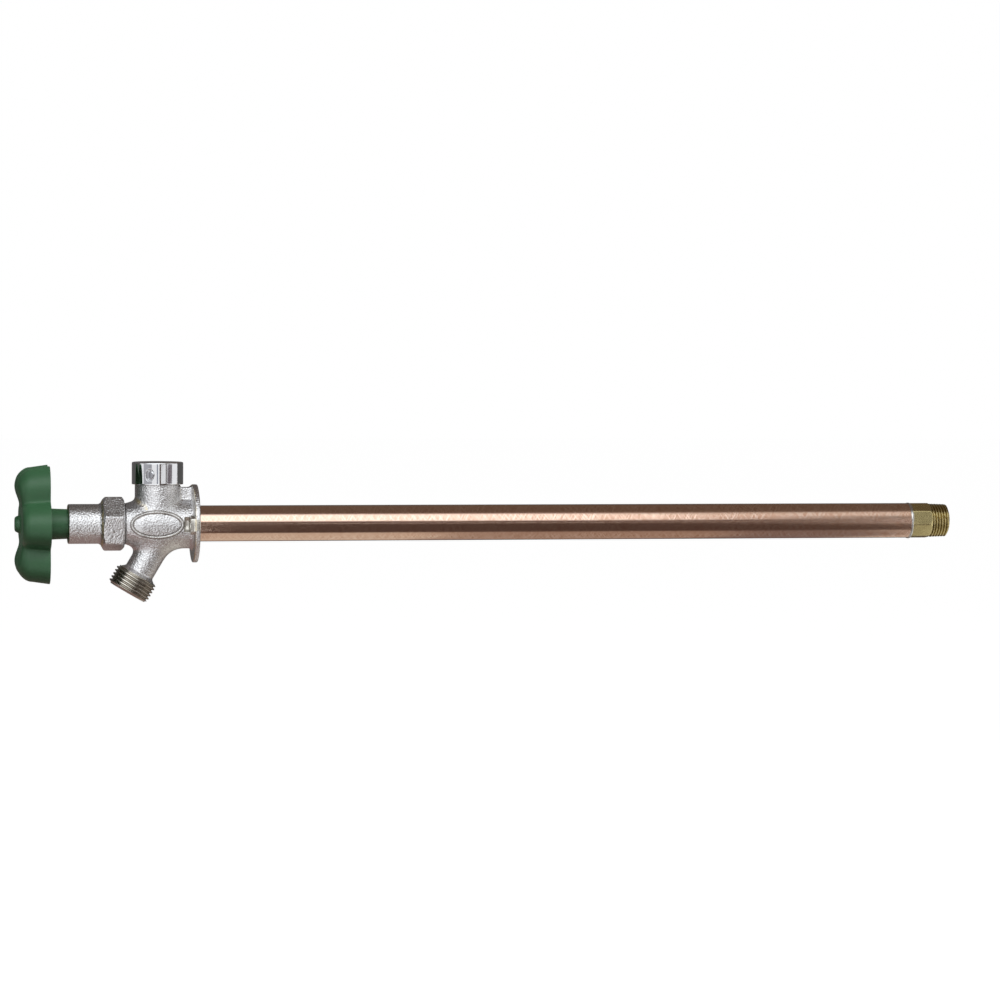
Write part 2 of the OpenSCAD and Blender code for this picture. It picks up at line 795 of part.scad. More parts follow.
module vb_cap_screw() {
    tip_z = tower_bore_d / 2 + cap_screw_tip_gap;
    head_z = cap_d / 2 - cap_screw_sink;
    head_len = head_z - tower_d / 2 - 0.1;
    head_r = cap_hole_w / 2 - 0.15;
    edge_w = 0.75;
    edge_h = 0.5;
    slot_w = 0.8;
    color(chrome_grey)
        along_cap_screw()
            difference() {
                union() {
                    translate([0, 0, tip_z])
                        cylinder(h = head_z - tip_z - edge_h, r = cap_screw_d / 2, $fn = small_fn);
                    translate([0, 0, head_z - head_len])
                        cylinder(h = head_len - edge_h, r = head_r, $fn = small_fn);
                    translate([0, 0, head_z - edge_h])
                        cylinder(h = edge_h, r1 = head_r, r2 = head_r - edge_w, $fn = small_fn);
                }
                translate([-slot_w / 2, -cap_hole_w, head_z - edge_h])
                    cube([slot_w, 2 * cap_hole_w, over]);
            }
}

// Cup that carries the seat washer; it slides in the tube and doesn't turn with the rod
module washer_holder() {
    rim_x = washer_x + holder_rim;
    fin_x = collar_x + 1;
    color(brass)
        difference() {
            union() {
                bar(collar_x, rim_x, holder_r);
                intersection() {
                    bar(fin_x, fin_x + fin_len, guide_r);
                    for (i = [0:holder_fins - 1])
                        rotate([360 * i / holder_fins, 0, 0])
                            translate([fin_x, -fin_w / 2, 0])
                                cube([fin_len, fin_w, tube_r]);
                }
            }
            bar(washer_x, rim_x + over, washer_d / 2 + run_clear);
            bar(collar_x + collar_t - over, holder_floor_x, rod_d / 2 + 2.2);
            bar(collar_x - over, collar_x + collar_t, collar_r + fixed_clear);
            bar(holder_floor_x - over, washer_x + over, washer_screw_d / 2 + fixed_clear, small_fn);
        }
}

module swivel_collar() {
    color(brass)
        ring(collar_x, collar_x + collar_t, collar_r, rod_d / 2 + run_clear);
}

module seat_washer() {
    color(rubber)
        ring(washer_x, washer_x + washer_t, washer_d / 2, washer_screw_d / 2 + fixed_clear);
}

module seat_washer_screw() {
    head_r = washer_screw_d * 0.9;
    head_h = 1.7;
    head_x = washer_x + washer_t;
    color(brass)
        difference() {
            union() {
                bar(washer_x - holder_floor + 0.6, head_x + over, washer_screw_d / 2, small_fn);
                turned([[head_x, 0], [head_x, head_r], [head_x + head_h - 0.5, head_r],
                        [head_x + head_h, head_r - 0.6], [head_x + head_h, 0]], small_fn);
            }
            translate([head_x + head_h - 0.7, -0.45, -tube_r])
                cube([over, 0.9, tube_od]);
        }
}

module stem_rod() {
    color(brass)
        difference() {
            bar(rod_start_x, rod_end_x, rod_d / 2);
            ring(clip_x - 0.05, clip_x + clip_t + 0.05, rod_d, rod_d / 2 - rod_groove);
            translate([rod_start_x + rod_socket / 2, 0, -stem_d])
                cylinder(h = 2 * stem_d, r = rod_pin_d / 2, $fn = small_fn);
        }
}

// Snap ring in the rod's groove, behind the swivel collar
module rod_clip() {
    color(steel)
        difference() {
            ring(clip_x, clip_x + clip_t, rod_d / 2 + 1.8, rod_d / 2 - rod_groove);
            translate([clip_x - over, -1.2, 0])
                cube([clip_t + 2 * over, 2.4, rod_d]);
        }
}

module rod_pin() {
    pin_half = stem_thread_d / 2 - thread_depth(stem_lead / 2) - 0.2;
    color(steel)
        translate([rod_start_x + rod_socket / 2, 0, -pin_half])
            cylinder(h = 2 * pin_half, r = rod_pin_d / 2 - 0.02, $fn = small_fn);
}

module stem_head() {
    stem_r = stem_d / 2;
    pitch = stem_lead / 2;
    crest_r = stem_thread_d / 2;
    count = floor((stem_thread_len - 0.6) / pitch);
    root_r = crest_r - thread_depth(pitch);
    screw_hole_end_x = stem_end_x + handle_screw_reach + over;
    color(brass)
        difference() {
            union() {
                bar(drive_x, stem_thread_x + over, stem_r);
                turned(concat(
                    [[stem_thread_x, 0], [stem_thread_x, root_r]],
                    crests(stem_thread_x + 0.4, crest_r, pitch, count),
                    [[stem_tail_x, root_r], [stem_tail_x, 0]]
                ));
                translate([stem_end_x, -drive_af / 2, -drive_af / 2])
                    cube([drive_len + over, drive_af, drive_af]);
            }
            bar(rod_start_x, stem_tail_x + over, rod_d / 2 + 0.02);
            bar(stem_end_x - over, screw_hole_end_x, handle_screw_d / 2 + 0.02, small_fn);
            translate([rod_start_x + rod_socket / 2, 0, -stem_thread_d])
                cylinder(h = 2 * stem_thread_d, r = rod_pin_d / 2, $fn = small_fn);
        }
}

// Outline of the handle: the lobe circle and the valley circle, blended as a power mean
blend_power = 16;
function from_lobe(a) = a - 360 / lobes * round(a * lobes / 360);
function lobe_reach(a) =
    let (b = from_lobe(a), side = lobe_pitch_r * sin(b))
    lobe_pitch_r * cos(b) + sqrt(max(0, lobe_r * lobe_r - side * side));
function rim_radius(a) =
    pow(pow(lobe_reach(a), blend_power) + pow(valley_r, blend_power), 1 / blend_power);

// Height of a dome at a point of the front; the lobes that point straight sideways have none
function dome(a, r) =
    let (n = round(a * lobes / 360), centre = 360 / lobes * n)
    let (lift = abs(sin(centre)) > 0.1 ? dome_h : 0)
    let (y = r * cos(a) - lobe_pitch_r * cos(centre), z = r * sin(a) - lobe_pitch_r * sin(centre))
    let (near = min(1, sqrt(y * y + z * z) / lobe_r))
    lift * (1 + cos(180 * near)) / 2;

// Radius and x of the outer skin at angle a, from the hub out over the shoulder to the back rim
front_share = [0.36, 0.5, 0.64, 0.76, 0.88, 1];
shoulder_step = [15:15:90];
function side_radius(a, x) = rim_radius(a) - tan(handle_draft) * (handle_back_x - x);
function outer_point(a, inner_r, share) =
    let (flat_r = side_radius(a, handle_flat_x + shoulder_r) - shoulder_r)
    let (r = inner_r + share * (flat_r - inner_r))
    [r, handle_flat_x - dome(a, r)];
function shoulder_point(a, t) =
    let (flat_r = side_radius(a, handle_flat_x + shoulder_r) - shoulder_r)
    let (r = flat_r + shoulder_r * sin(t))
    [r, handle_flat_x - dome(a, r) * cos(t) + shoulder_r * (1 - cos(t))];

hub_r = boss_d / 2 + 2;
skin_inner_r = hub_r - 1;
function skin_column(a) =
    let (rim = rim_radius(a), floor_x = handle_flat_x + handle_wall)
    concat(
        [[skin_inner_r, handle_flat_x]],
        [for (s = front_share) outer_point(a, skin_inner_r, s)],
        [for (t = shoulder_step) shoulder_point(a, t)],
        [[rim, handle_back_x], [rim - handle_wall, handle_back_x]],
        [[side_radius(a, floor_x + shoulder_r) - handle_wall, floor_x + shoulder_r - 1]],
        [[side_radius(a, floor_x + shoulder_r) - handle_wall - shoulder_r + 2, floor_x]],
        [[skin_inner_r, floor_x]]
    );

skin_turns = 72;
module handle_skin() {
    columns = [for (i = [0:skin_turns - 1]) skin_column(360 * i / skin_turns)];
    rings = len(columns[0]);
    points = [for (i = [0:skin_turns - 1])
        for (p = columns[i])
            [p[1], p[0] * cos(360 * i / skin_turns), p[0] * sin(360 * i / skin_turns)]];
    faces = [for (i = [0:skin_turns - 1])
        for (j = [0:rings - 1])
            let (n = (i + 1) % skin_turns, k = (j + 1) % rings)
            let (a = i * rings + j, b = n * rings + j, c = n * rings + k, d = i * rings + k)
            for (f = [[a, c, b], [a, d, c]])
                f];
    polyhedron(points = points, faces = faces);
}

// Ribs run from the hub into every lobe and stop short of the back rim
module handle_ribs() {
    rib_t = 2.2;
    rib_x = handle_flat_x + handle_wall - 0.4;
    rib_deep = 7.6;
    rib_in_r = sleeve_d / 2 - 1;
    rib_out_r = lobe_pitch_r + lobe_r - handle_wall - 1;
    for (i = [0:lobes - 1])
        rotate([360 * i / lobes, 0, 0])
            translate([rib_x, rib_in_r, -rib_t / 2])
                cube([rib_deep, rib_out_r - rib_in_r, rib_t]);
}

module handle() {
    sleeve_bore_r = stem_d / 2 + 1;
    socket_half = drive_af / 2 + run_clear;
    sleeve_x = handle_flat_x + handle_wall / 2;
    edge = 0.4;
    hub_sink = 0.2;
    hub_back_x = handle_flat_x + handle_wall - hub_sink;
    color(green)
        difference() {
            union() {
                handle_skin();
                handle_ribs();
                turned([[boss_face_x, 0], [boss_face_x, boss_face_d / 2 - edge],
                        [boss_face_x + edge, boss_face_d / 2], [handle_flat_x - edge, boss_d / 2],
                        [handle_flat_x + hub_sink, hub_r], [hub_back_x, hub_r], [hub_back_x, 0]]);
                turned([[sleeve_x, 0], [sleeve_x, sleeve_d / 2], [handle_back_x, sleeve_d / 2],
                        [bonnet_end_x, sleeve_end_d / 2], [sleeve_end_x - edge, sleeve_end_d / 2],
                        [sleeve_end_x, sleeve_end_d / 2 - edge], [sleeve_end_x, 0]]);
            }
            bar(drive_x, sleeve_end_x + over, sleeve_bore_r);
            translate([stem_end_x - 0.3, -socket_half, -socket_half])
                cube([drive_len + over, 2 * socket_half, 2 * socket_half]);
            bar(boss_face_x - over, stem_end_x + over, handle_screw_d / 2 + 0.15, small_fn);
            bar(boss_face_x - over, head_floor_x, handle_head_d / 2 + 0.1, small_fn);
        }
}

module handle_lock_washer() {
    color(steel)
        ring(head_floor_x - lock_washer_t, head_floor_x, handle_head_d / 2 - 0.1, handle_screw_d / 2 + 0.1);
}

module handle_screw() {
    head_x = head_floor_x - lock_washer_t;
    head_r = handle_head_d / 2;
    slot_w = 0.9;
    color(steel)
        difference() {
            union() {
                bar(head_x - over, stem_end_x + handle_screw_reach, handle_screw_d / 2, small_fn);
                turned([[head_x - screw_head_h, 0], [head_x - screw_head_h, head_r * 0.45],
                        [head_x - screw_head_h * 0.8, head_r * 0.8], [head_x - screw_head_h * 0.4, head_r],
                        [head_x, head_r], [head_x, 0]], small_fn);
            }
            for (turn = [0, 90])
                rotate([turn, 0, 0])
                    translate([head_x - screw_head_h - over, -slot_w / 2, -head_r * 0.55])
                        cube([over + 1, slot_w, head_r * 1.1]);
        }
}

hydrant_body();
supply_tube();
tube_solder_ring();
inlet_fitting();
inlet_solder_ring();
bonnet_nut();
packing_washer();
packing_rings();
packing_gland();
vb_guide();
vb_poppet();
vb_poppet_seal();
vb_vent_seat();
vb_o_ring();
vb_cap();
vb_cap_screw();
washer_holder();
swivel_collar();
seat_washer();
seat_washer_screw();
stem_rod();
rod_clip();
rod_pin();
stem_head();
handle();
handle_lock_washer();
handle_screw();
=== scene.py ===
# %% [markdown]
# # A frost free sillcock
#
# This tap hangs outside a wall, but its valve sits at the far end of a long copper tube, where the
# house keeps it warm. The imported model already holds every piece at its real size. This notebook
# gives the pieces their looks: a blended casting, real threads, a cast wheel and the finishes.
# Sizes are in millimetres up to the moment that a mesh is made.

# %% Load the fixed frame
import math

import bmesh
import bpy
import numpy as np
from mathutils import Matrix, Vector


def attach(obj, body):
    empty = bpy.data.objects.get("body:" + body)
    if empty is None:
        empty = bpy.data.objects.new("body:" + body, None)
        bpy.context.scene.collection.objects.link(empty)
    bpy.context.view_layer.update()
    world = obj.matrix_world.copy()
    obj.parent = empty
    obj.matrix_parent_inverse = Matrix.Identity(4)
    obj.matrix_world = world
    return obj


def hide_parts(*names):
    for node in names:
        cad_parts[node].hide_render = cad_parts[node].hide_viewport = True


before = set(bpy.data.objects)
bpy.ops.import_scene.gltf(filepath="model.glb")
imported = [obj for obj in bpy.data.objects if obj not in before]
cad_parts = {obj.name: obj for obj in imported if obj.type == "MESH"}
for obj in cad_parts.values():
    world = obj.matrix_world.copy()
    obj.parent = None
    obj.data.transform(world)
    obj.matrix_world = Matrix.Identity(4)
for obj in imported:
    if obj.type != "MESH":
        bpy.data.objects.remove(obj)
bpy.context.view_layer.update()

MM = 0.001
# Points nearer than this, in metres, are one.
SAME_POINT = 1e-6
bpy.context.scene.view_settings.view_transform = "Standard"

# %% [markdown]
# ## Surfaces from arrays
#
# Nearly every piece here is turned or cast round an axis, so a surface is a grid of points: rows run
# along a profile and columns run round the axis. One function makes the quads of such a grid, and
# another makes the object. It writes each point where it belongs, so every object stays at the
# origin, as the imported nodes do.

# %% Grids of points, and the objects made from them
def grid_faces(rows, cols, loop=False):
    """Quads between neighbouring rows and columns. Columns close on themselves, and rows do too if
    loop is set."""
    i = np.arange(rows if loop else rows - 1)[:, None]
    j = np.arange(cols)[None, :]
    right = (j + 1) % cols
    below = (i + 1) % rows
    corners = [i * cols + j, i * cols + right, below * cols + right, below * cols + j]
    return np.stack(corners, -1).reshape(-1, 4)


def add_mesh(name, points, faces, crease=35):
    """An object from points in millimetres. Doubles are merged, faces point outwards, and edges
    sharper than crease degrees keep a hard shade."""
    mesh = bpy.data.meshes.new(name)
    mesh.from_pydata((np.asarray(points).reshape(-1, 3) * MM).tolist(), [], np.asarray(faces).tolist())
    work = bmesh.new()
    work.from_mesh(mesh)
    bmesh.ops.remove_doubles(work, verts=work.verts, dist=SAME_POINT)
    bmesh.ops.recalc_face_normals(work, faces=work.faces)
    work.to_mesh(mesh)
    work.free()
    mesh.shade_smooth()
    mesh.set_sharp_from_angle(angle=math.radians(crease))
    obj = bpy.data.objects.new(name, mesh)
    bpy.context.collection.objects.link(obj)
    return obj


def around(angle, radius, along):
    """Points round the tube's axis: x = along, y = radius cos(angle), z = radius sin(angle)."""
    along, radius, angle = np.broadcast_arrays(along, radius, angle)
    return np.stack([along, radius * np.cos(angle), radius * np.sin(angle)], -1)


def smoothstep(low, high, value):
    """Nought below low, one above high, and 3t^2 - 2t^3 between them. It falls if low is above
    high."""
    t = np.clip((np.asarray(value, float) - low) / (high - low), 0, 1)
    return t * t * (3 - 2 * t)


def finish_piece(piece, body, node_names, material):
    """Says what a piece rides on and stands for, and gives it its material."""
    piece.data.materials.append(material)
    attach(piece, body)
    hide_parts(*node_names)
    print(piece.name, len(piece.data.polygons), "faces on", body)
    return piece

# %% [markdown]
# ## Sizes that the pieces share
#
# A few driving sizes of the tap, the same as in its construction, and two directions worked out from
# them. A size that one piece alone needs is named in that piece's own cell.

# %% Driving sizes
BODY_LEN = 44.6
BARREL_R = 15.3
BARREL_END_R = 12.3
FLANGE_R = 24.0
FLANGE_T = 3.0
TOWER_X = -24.3
TOWER_R = 13.9
TOWER_TOP = 34.0
OUTLET_X = -18.0
OUTLET_TILT = math.radians(30.5)
OUTLET_LEN = 49.0
OUTLET_NECK_R = 9.2
HOSE_R = 13.495
HOSE_PITCH = 2.209
TUBE_R = 11.1125
SCREW_Y = 18.6
PAD_R = 6.0
PAD_X = -6.0
OUTLET_DOWN = np.array([-math.sin(OUTLET_TILT), 0.0, -math.cos(OUTLET_TILT)])
OUTLET_SIDE = np.array([math.cos(OUTLET_TILT), 0.0, -math.sin(OUTLET_TILT)])
print("outlet ends at", np.round([OUTLET_X, 0, 0] + OUTLET_LEN * OUTLET_DOWN, 2), "mm")

# %% [markdown]
# ## The finishes
#
# Each material starts from the real one. One function builds every node graph: it adds a node, sets
# its properties, and links or fills its inputs. Colours are written as a designer would, in sRGB
# hex, and turned to linear light. Patterns read Object coordinates, which are metres here because no
# object is scaled, so a pattern of size s millimetres has the scale 1000 / s.
#
# Three nodes come back often. Map Range is a straight ramp: a value, its low and its high end, and
# what comes out at each. Mix has its share at input 0 and its two colours at inputs 6 and 7. Math
# does one step of arithmetic.

# %% One function for colours, one for nodes
def colour(code):
    """sRGB hex to linear RGBA: c / 12.92 below 0.04045, else ((c + 0.055) / 1.055) ^ 2.4."""
    part = np.array([int(code[i:i + 2], 16) for i in (1, 3, 5)]) / 255
    linear = np.where(part <= 0.04045, part / 12.92, ((part + 0.055) / 1.055) ** 2.4)
    return (*linear.tolist(), 1.0)


def add_node(tree, kind, inputs=(), **settings):
    """Adds one node. Its inputs are a list in order, or a dictionary. Each one is a number, a hex
    colour, an output socket, or a node, which stands for its first output in use."""
    node = tree.nodes.new(kind)
    for key, value in settings.items():
        setattr(node, key, value)
    for key, value in inputs.items() if isinstance(inputs, dict) else enumerate(inputs):
        if isinstance(value, bpy.types.Node):
            value = next(output for output in value.outputs if output.enabled)
        if isinstance(value, bpy.types.NodeSocket):
            tree.links.new(value, node.inputs[key])
        else:
            node.inputs[key].default_value = colour(value) if isinstance(value, str) else value
    return node


def bare_tree(block):
    """The empty node tree of a new world or material."""
    block.use_nodes = True
    block.node_tree.nodes.clear()
    return block.node_tree


def new_material(name):
    """An empty material, its node tree, and its Object coordinates."""
    material = bpy.data.materials.new(name)
    tree = bare_tree(material)
    place = add_node(tree, "ShaderNodeTexCoord").outputs["Object"]
    return material, tree, place


def coat(material, inputs):
    """Ends a material with a Principled shader that has these inputs."""
    shader = add_node(material.node_tree, "ShaderNodeBsdfPrincipled", inputs)
    add_node(material.node_tree, "ShaderNodeOutputMaterial", {"Surface": shader})
    return material

# %% [markdown]
# **Plated cast brass.** The body and the bonnet are sand cast in brass and plated in satin nickel.
# Sand leaves a pebbled skin with grains of about a millimetre. The lathe leaves smooth faces, and
# buffing wears the plating off a few edges, where the yellow of the brass comes through. Three
# attributes of the mesh say where: where it is machined, where it is worn, and where a thin line of
# painted shade lies at the foot of the badge's bead. Corners, where little light gets in, also get
# painted shade, from ambient occlusion.

# %% Plated cast brass
GRAIN_MM = 1.05
FINE_GRAIN_MM = 0.75
GRAIN_HEIGHT_MM = 0.26
PLATING_PATCH_MM = 5
# How far ambient occlusion looks for the corners that get painted shade.
CORNER_MM = 2.5


def plated_cast_brass():
    """Satin plating over a sand-cast skin. Its height is the sum of large and fine grains, and
    nearly nought where it is machined."""
    material, tree, place = new_material("plated_cast_brass")
    grains = add_node(tree, "ShaderNodeTexVoronoi",
                      {"Vector": place, "Scale": 1000 / GRAIN_MM, "Smoothness": 0.5}, feature="SMOOTH_F1")
    fine = add_node(tree, "ShaderNodeTexNoise",
                    {"Vector": place, "Scale": 1000 / FINE_GRAIN_MM, "Detail": 2.0})
    patches = add_node(tree, "ShaderNodeTexNoise",
                       {"Vector": place, "Scale": 1000 / PLATING_PATCH_MM, "Detail": 3.0})
    machined, worn, painted_shade = [add_node(tree, "ShaderNodeAttribute", attribute_name=name).outputs["Fac"]
                             for name in ("machined", "worn", "painted_shade")]
    pebbles = add_node(tree, "ShaderNodeMath", [grains, fine], operation="ADD")
    as_cast = add_node(tree, "ShaderNodeMapRange", [machined, 0.2, 0.8, 1.0, 0.04])
    height = add_node(tree, "ShaderNodeMath", [pebbles, as_cast], operation="MULTIPLY")
    bump = add_node(tree, "ShaderNodeBump",
                    {"Height": height, "Strength": 1.0, "Distance": GRAIN_HEIGHT_MM * MM})
    open_sky = add_node(tree, "ShaderNodeAmbientOcclusion", {"Distance": CORNER_MM * MM}, samples=6)
    plating = add_node(tree, "ShaderNodeMix", {0: patches, 6: "#e3e2e4", 7: "#d2d1d2"}, data_type="RGBA")
    turned = add_node(tree, "ShaderNodeMapRange", [machined, 0.2, 0.8, 0.0, 1.0])
    plating = add_node(tree, "ShaderNodeMix", {0: turned, 6: plating, 7: "#d8d5ce"}, data_type="RGBA")
    # Painted shade: corners that ambient occlusion finds, and the line at the bead's foot, are mixed
    # towards dark brown.
    corners = add_node(tree, "ShaderNodeMapRange", [open_sky.outputs["AO"], 0.75, 0.3, 0.0, 0.7])
    bead_foot_shade = add_node(tree, "ShaderNodeMath", [painted_shade, 0.85], operation="MULTIPLY")
    shade_share = add_node(tree, "ShaderNodeMath", [corners, bead_foot_shade], operation="MAXIMUM")
    plating = add_node(tree, "ShaderNodeMix", {0: shade_share, 6: plating, 7: "#625950"}, data_type="RGBA")
    thin = add_node(tree, "ShaderNodeMapRange", [patches, 0.4, 0.6, 0.1, 0.7])
    bare = add_node(tree, "ShaderNodeMath", [worn, thin], operation="MULTIPLY")
    metal = add_node(tree, "ShaderNodeMix", {0: bare, 6: plating, 7: "#dcc583"}, data_type="RGBA")
    rough = add_node(tree, "ShaderNodeMapRange", [fine, 0.3, 0.7, 0.24, 0.36])
    return coat(material, {"Base Color": metal, "Metallic": 1.0, "Roughness": rough, "Normal": bump})


CASTING = plated_cast_brass()
print("casting:", len(CASTING.node_tree.nodes), "nodes")

# %% [markdown]
# ** Machined metals.** The hose thread, the cap, the brass fitting, the braze and the screws are bare
# or polished metal. They differ in colour, in how rough they are and in the marks of the tool, which
# are drawn a few times wider than real ones, because those are too fine to show. The roots of the
# threads, which ambient occlusion finds, are darkened with painted shade.

# %% Machined and polished metals
METAL_PATCH_MM = 6.0
THREAD_ROOT_MM = 1.5


def machined_metal(name, light, dark, rough, mark_mm, mark_depth, stretch=(1, 1, 1), painted_shade="#4d453d"):
    """Bare metal: two drifting tones, marks stretched along one axis, and painted shade in thread roots.
    """
    material, tree, place = new_material(name)
    drawn = add_node(tree, "ShaderNodeMapping", {"Vector": place, "Scale": stretch})
    marks = add_node(tree, "ShaderNodeTexNoise",
                     {"Vector": drawn, "Scale": 1000 / mark_mm, "Detail": 3.0})
    patches = add_node(tree, "ShaderNodeTexNoise",
                       {"Vector": place, "Scale": 1000 / METAL_PATCH_MM, "Detail": 2.0})
    bump = add_node(tree, "ShaderNodeBump",
                    {"Height": marks, "Strength": 1.0, "Distance": mark_depth * MM})
    open_sky = add_node(tree, "ShaderNodeAmbientOcclusion", {"Distance": THREAD_ROOT_MM * MM}, samples=6)
    metal = add_node(tree, "ShaderNodeMix", {0: patches, 6: light, 7: dark}, data_type="RGBA")
    # Painted shade: where ambient occlusion finds a thread root or a corner, the metal is mixed towards a
    # darker colour.
    roots = add_node(tree, "ShaderNodeMapRange", [open_sky.outputs["AO"], 0.8, 0.35, 0.0, 0.75])
    metal = add_node(tree, "ShaderNodeMix", {0: roots, 6: metal, 7: painted_shade}, data_type="RGBA")
    polish = add_node(tree, "ShaderNodeMapRange", [marks, 0.3, 0.7, rough * 0.8, rough * 1.25])
    return coat(material, {"Base Color": metal, "Metallic": 1.0, "Roughness": polish, "Normal": bump})


# Name, light and dark tone, roughness, width of the marks and their depth in millimetres.
# The colour given by keyword is the painted shade in thread roots. The others use a dark default.
CHROME = machined_metal("polished_chrome", "#e6e7ea", "#dcdde0", 0.06, 2.0, 0.001, stretch=(1, 1, 0.05))
HOSE_METAL = machined_metal("turned_plated_thread", "#d6d3cb", "#b3ada3", 0.21, 0.5, 0.01, painted_shade="#8d857a")
BRASS = machined_metal("machined_brass", "#d9ca96", "#bdae7d", 0.25, 0.6, 0.01, painted_shade="#9a8754")
BRAZE = machined_metal("silver_braze", "#e4e4e4", "#bcb9b4", 0.22, 1.5, 0.08)
STEEL = machined_metal("zinc_plated_steel", "#a9acb0", "#8d9094", 0.28, 0.8, 0.01)
print("metals ready")

# %% [markdown]
# ** Brushed copper.** The tube was cleaned with an abrasive pad that went round it, so its scratches
# run round too, all of them slanted. The texture is laid out on the unrolled tube: x along it, and
# the angle atan2(z, -y) round it, whose seam is at the back. A scratch is then a noise stretched
# along the angle, and is drawn coarser than a real one, or it wouldn't show. Scratches are paler
# than the skin: bared copper, and a painted glint. The tube was rubbed harder towards its far end,
# so it is satin far from the wall. Its colour is also paler by the wall, which is painted light for
# the brighter light on that end.

# %% Brushed copper
SCRATCH_MM = 0.5
SCRATCH_DEPTH_MM = 0.006
SCRATCH_RUN = 1.6
COPPER_PATCH_MM = 20


def scratches(tree, x, angle, slant):
    """Fine lines on the unrolled tube: the peaks of a stretched noise. The slant is the shift in
    widths for each radian of turn."""
    across = add_node(tree, "ShaderNodeMath", [x, 1000 / SCRATCH_MM], operation="MULTIPLY")
    lean = add_node(tree, "ShaderNodeMath", [angle, slant, across], operation="MULTIPLY_ADD")
    run = add_node(tree, "ShaderNodeMath", [angle, SCRATCH_RUN], operation="MULTIPLY")
    unrolled = add_node(tree, "ShaderNodeCombineXYZ", [lean, run])
    grain = add_node(tree, "ShaderNodeTexNoise", {"Vector": unrolled, "Scale": 1.0, "Detail": 2.0})
    return add_node(tree, "ShaderNodeMapRange", [grain, 0.47, 0.66, 0.0, 1.0])


def brushed_copper():
    """Two families of scratches cross each other. A fresh scratch is smoother than the skin round
    it, and lighter: bared copper, and a painted glint."""
    material, tree, place = new_material("brushed_copper")
    x, y, z = add_node(tree, "ShaderNodeSeparateXYZ", [place]).outputs
    front = add_node(tree, "ShaderNodeMath", [y, -1.0], operation="MULTIPLY")
    angle = add_node(tree, "ShaderNodeMath", [z, front], operation="ARCTAN2")
    left_marks = scratches(tree, x, angle, slant=15.0)
    right_marks = scratches(tree, x, angle, slant=-13.0)
    marks = add_node(tree, "ShaderNodeMath", [left_marks, right_marks], operation="MAXIMUM")
    patches = add_node(tree, "ShaderNodeTexNoise",
                       {"Vector": place, "Scale": 1000 / COPPER_PATCH_MM, "Detail": 3.0})
    bump = add_node(tree, "ShaderNodeBump",
                    {"Height": marks, "Strength": 1.0, "Distance": SCRATCH_DEPTH_MM * MM})
    skin = add_node(tree, "ShaderNodeMix", {0: patches, 6: "#d9b29c", 7: "#cca188"}, data_type="RGBA")
    # Painted light: the skin is paler by the wall, for the brighter light on that end of the tube.
    painted_light_by_wall = add_node(tree, "ShaderNodeMapRange", [x, 0.02, 0.3, 0.45, 0.0])
    skin = add_node(tree, "ShaderNodeMix", {0: painted_light_by_wall, 6: skin, 7: "#edd1c1"}, data_type="RGBA")
    # Scratches are mixed paler: bared copper, and a painted glint.
    copper = add_node(tree, "ShaderNodeMix", {0: marks, 6: skin, 7: "#eccfbe"}, data_type="RGBA")
    satin = add_node(tree, "ShaderNodeMapRange", [x, 0.02, 0.46, 0.16, 0.26])
    fresh = add_node(tree, "ShaderNodeMapRange", [marks, 0.0, 1.0, 1.0, 0.65])
    rough = add_node(tree, "ShaderNodeMath", [satin, fresh], operation="MULTIPLY")
    return coat(material, {"Base Color": copper, "Metallic": 1.0, "Roughness": rough, "Normal": bump})


COPPER = brushed_copper()
print("copper:", len(COPPER.node_tree.nodes), "nodes")

# %% [markdown]
# ** Green enamel.** The wheel is cast and dipped in satin green enamel. Enamel is a thick skin of
# paint, so it isn't metallic: it has a soft, wide highlight and a faint orange peel, and it is thin
# on sharp edges. The sharp edges are drawn a paler green, which stands both for the thinner enamel
# and for a painted highlight along them.

# %% Green enamel
ORANGE_PEEL_MM = 1.5
PEEL_DEPTH_MM = 0.03
CLOUD_MM = 14


def green_enamel():
    """Satin enamel: a fine noise for the peel, a wide one for its clouds, and a paler tone on
    raised edges, for thin enamel and for a painted highlight."""
    material, tree, place = new_material("satin_green_enamel")
    peel = add_node(tree, "ShaderNodeTexNoise",
                    {"Vector": place, "Scale": 1000 / ORANGE_PEEL_MM, "Detail": 3.0})
    clouds = add_node(tree, "ShaderNodeTexNoise",
                      {"Vector": place, "Scale": 1000 / CLOUD_MM, "Detail": 3.0})
    shape = add_node(tree, "ShaderNodeNewGeometry").outputs["Pointiness"]
    bump = add_node(tree, "ShaderNodeBump",
                    {"Height": peel, "Strength": 1.0, "Distance": PEEL_DEPTH_MM * MM})
    green = add_node(tree, "ShaderNodeMix", {0: clouds, 6: "#44754e", 7: "#3c6a46"}, data_type="RGBA")
    # Paler on raised edges: thinner enamel, and a painted highlight along them.
    thin = add_node(tree, "ShaderNodeMapRange", [shape, 0.53, 0.62, 0.0, 0.4])
    green = add_node(tree, "ShaderNodeMix", {0: thin, 6: green, 7: "#9dbb9c"}, data_type="RGBA")
    rough = add_node(tree, "ShaderNodeMapRange", [peel, 0.3, 0.7, 0.38, 0.5])
    return coat(material, {"Base Color": green, "Roughness": rough, "Normal": bump})


ENAMEL = green_enamel()
print("enamel ready")

# %% [markdown]
# **Inner pieces.** Rubber, graphite packing and moulded plastic sit out of sight. They still get a
# finish of their own, because the tap comes apart.

# %% Rubber, packing and plastic
def dull_material(name, light, dark, rough, grain_mm, grain_depth):
    """A soft or moulded material: two close tones and a fine grain."""
    material, tree, place = new_material(name)
    grain = add_node(tree, "ShaderNodeTexNoise",
                     {"Vector": place, "Scale": 1000 / grain_mm, "Detail": 3.0})
    bump = add_node(tree, "ShaderNodeBump",
                    {"Height": grain, "Strength": 1.0, "Distance": grain_depth * MM})
    tone = add_node(tree, "ShaderNodeMix", {0: grain, 6: light, 7: dark}, data_type="RGBA")
    return coat(material, {"Base Color": tone, "Roughness": rough, "Normal": bump})


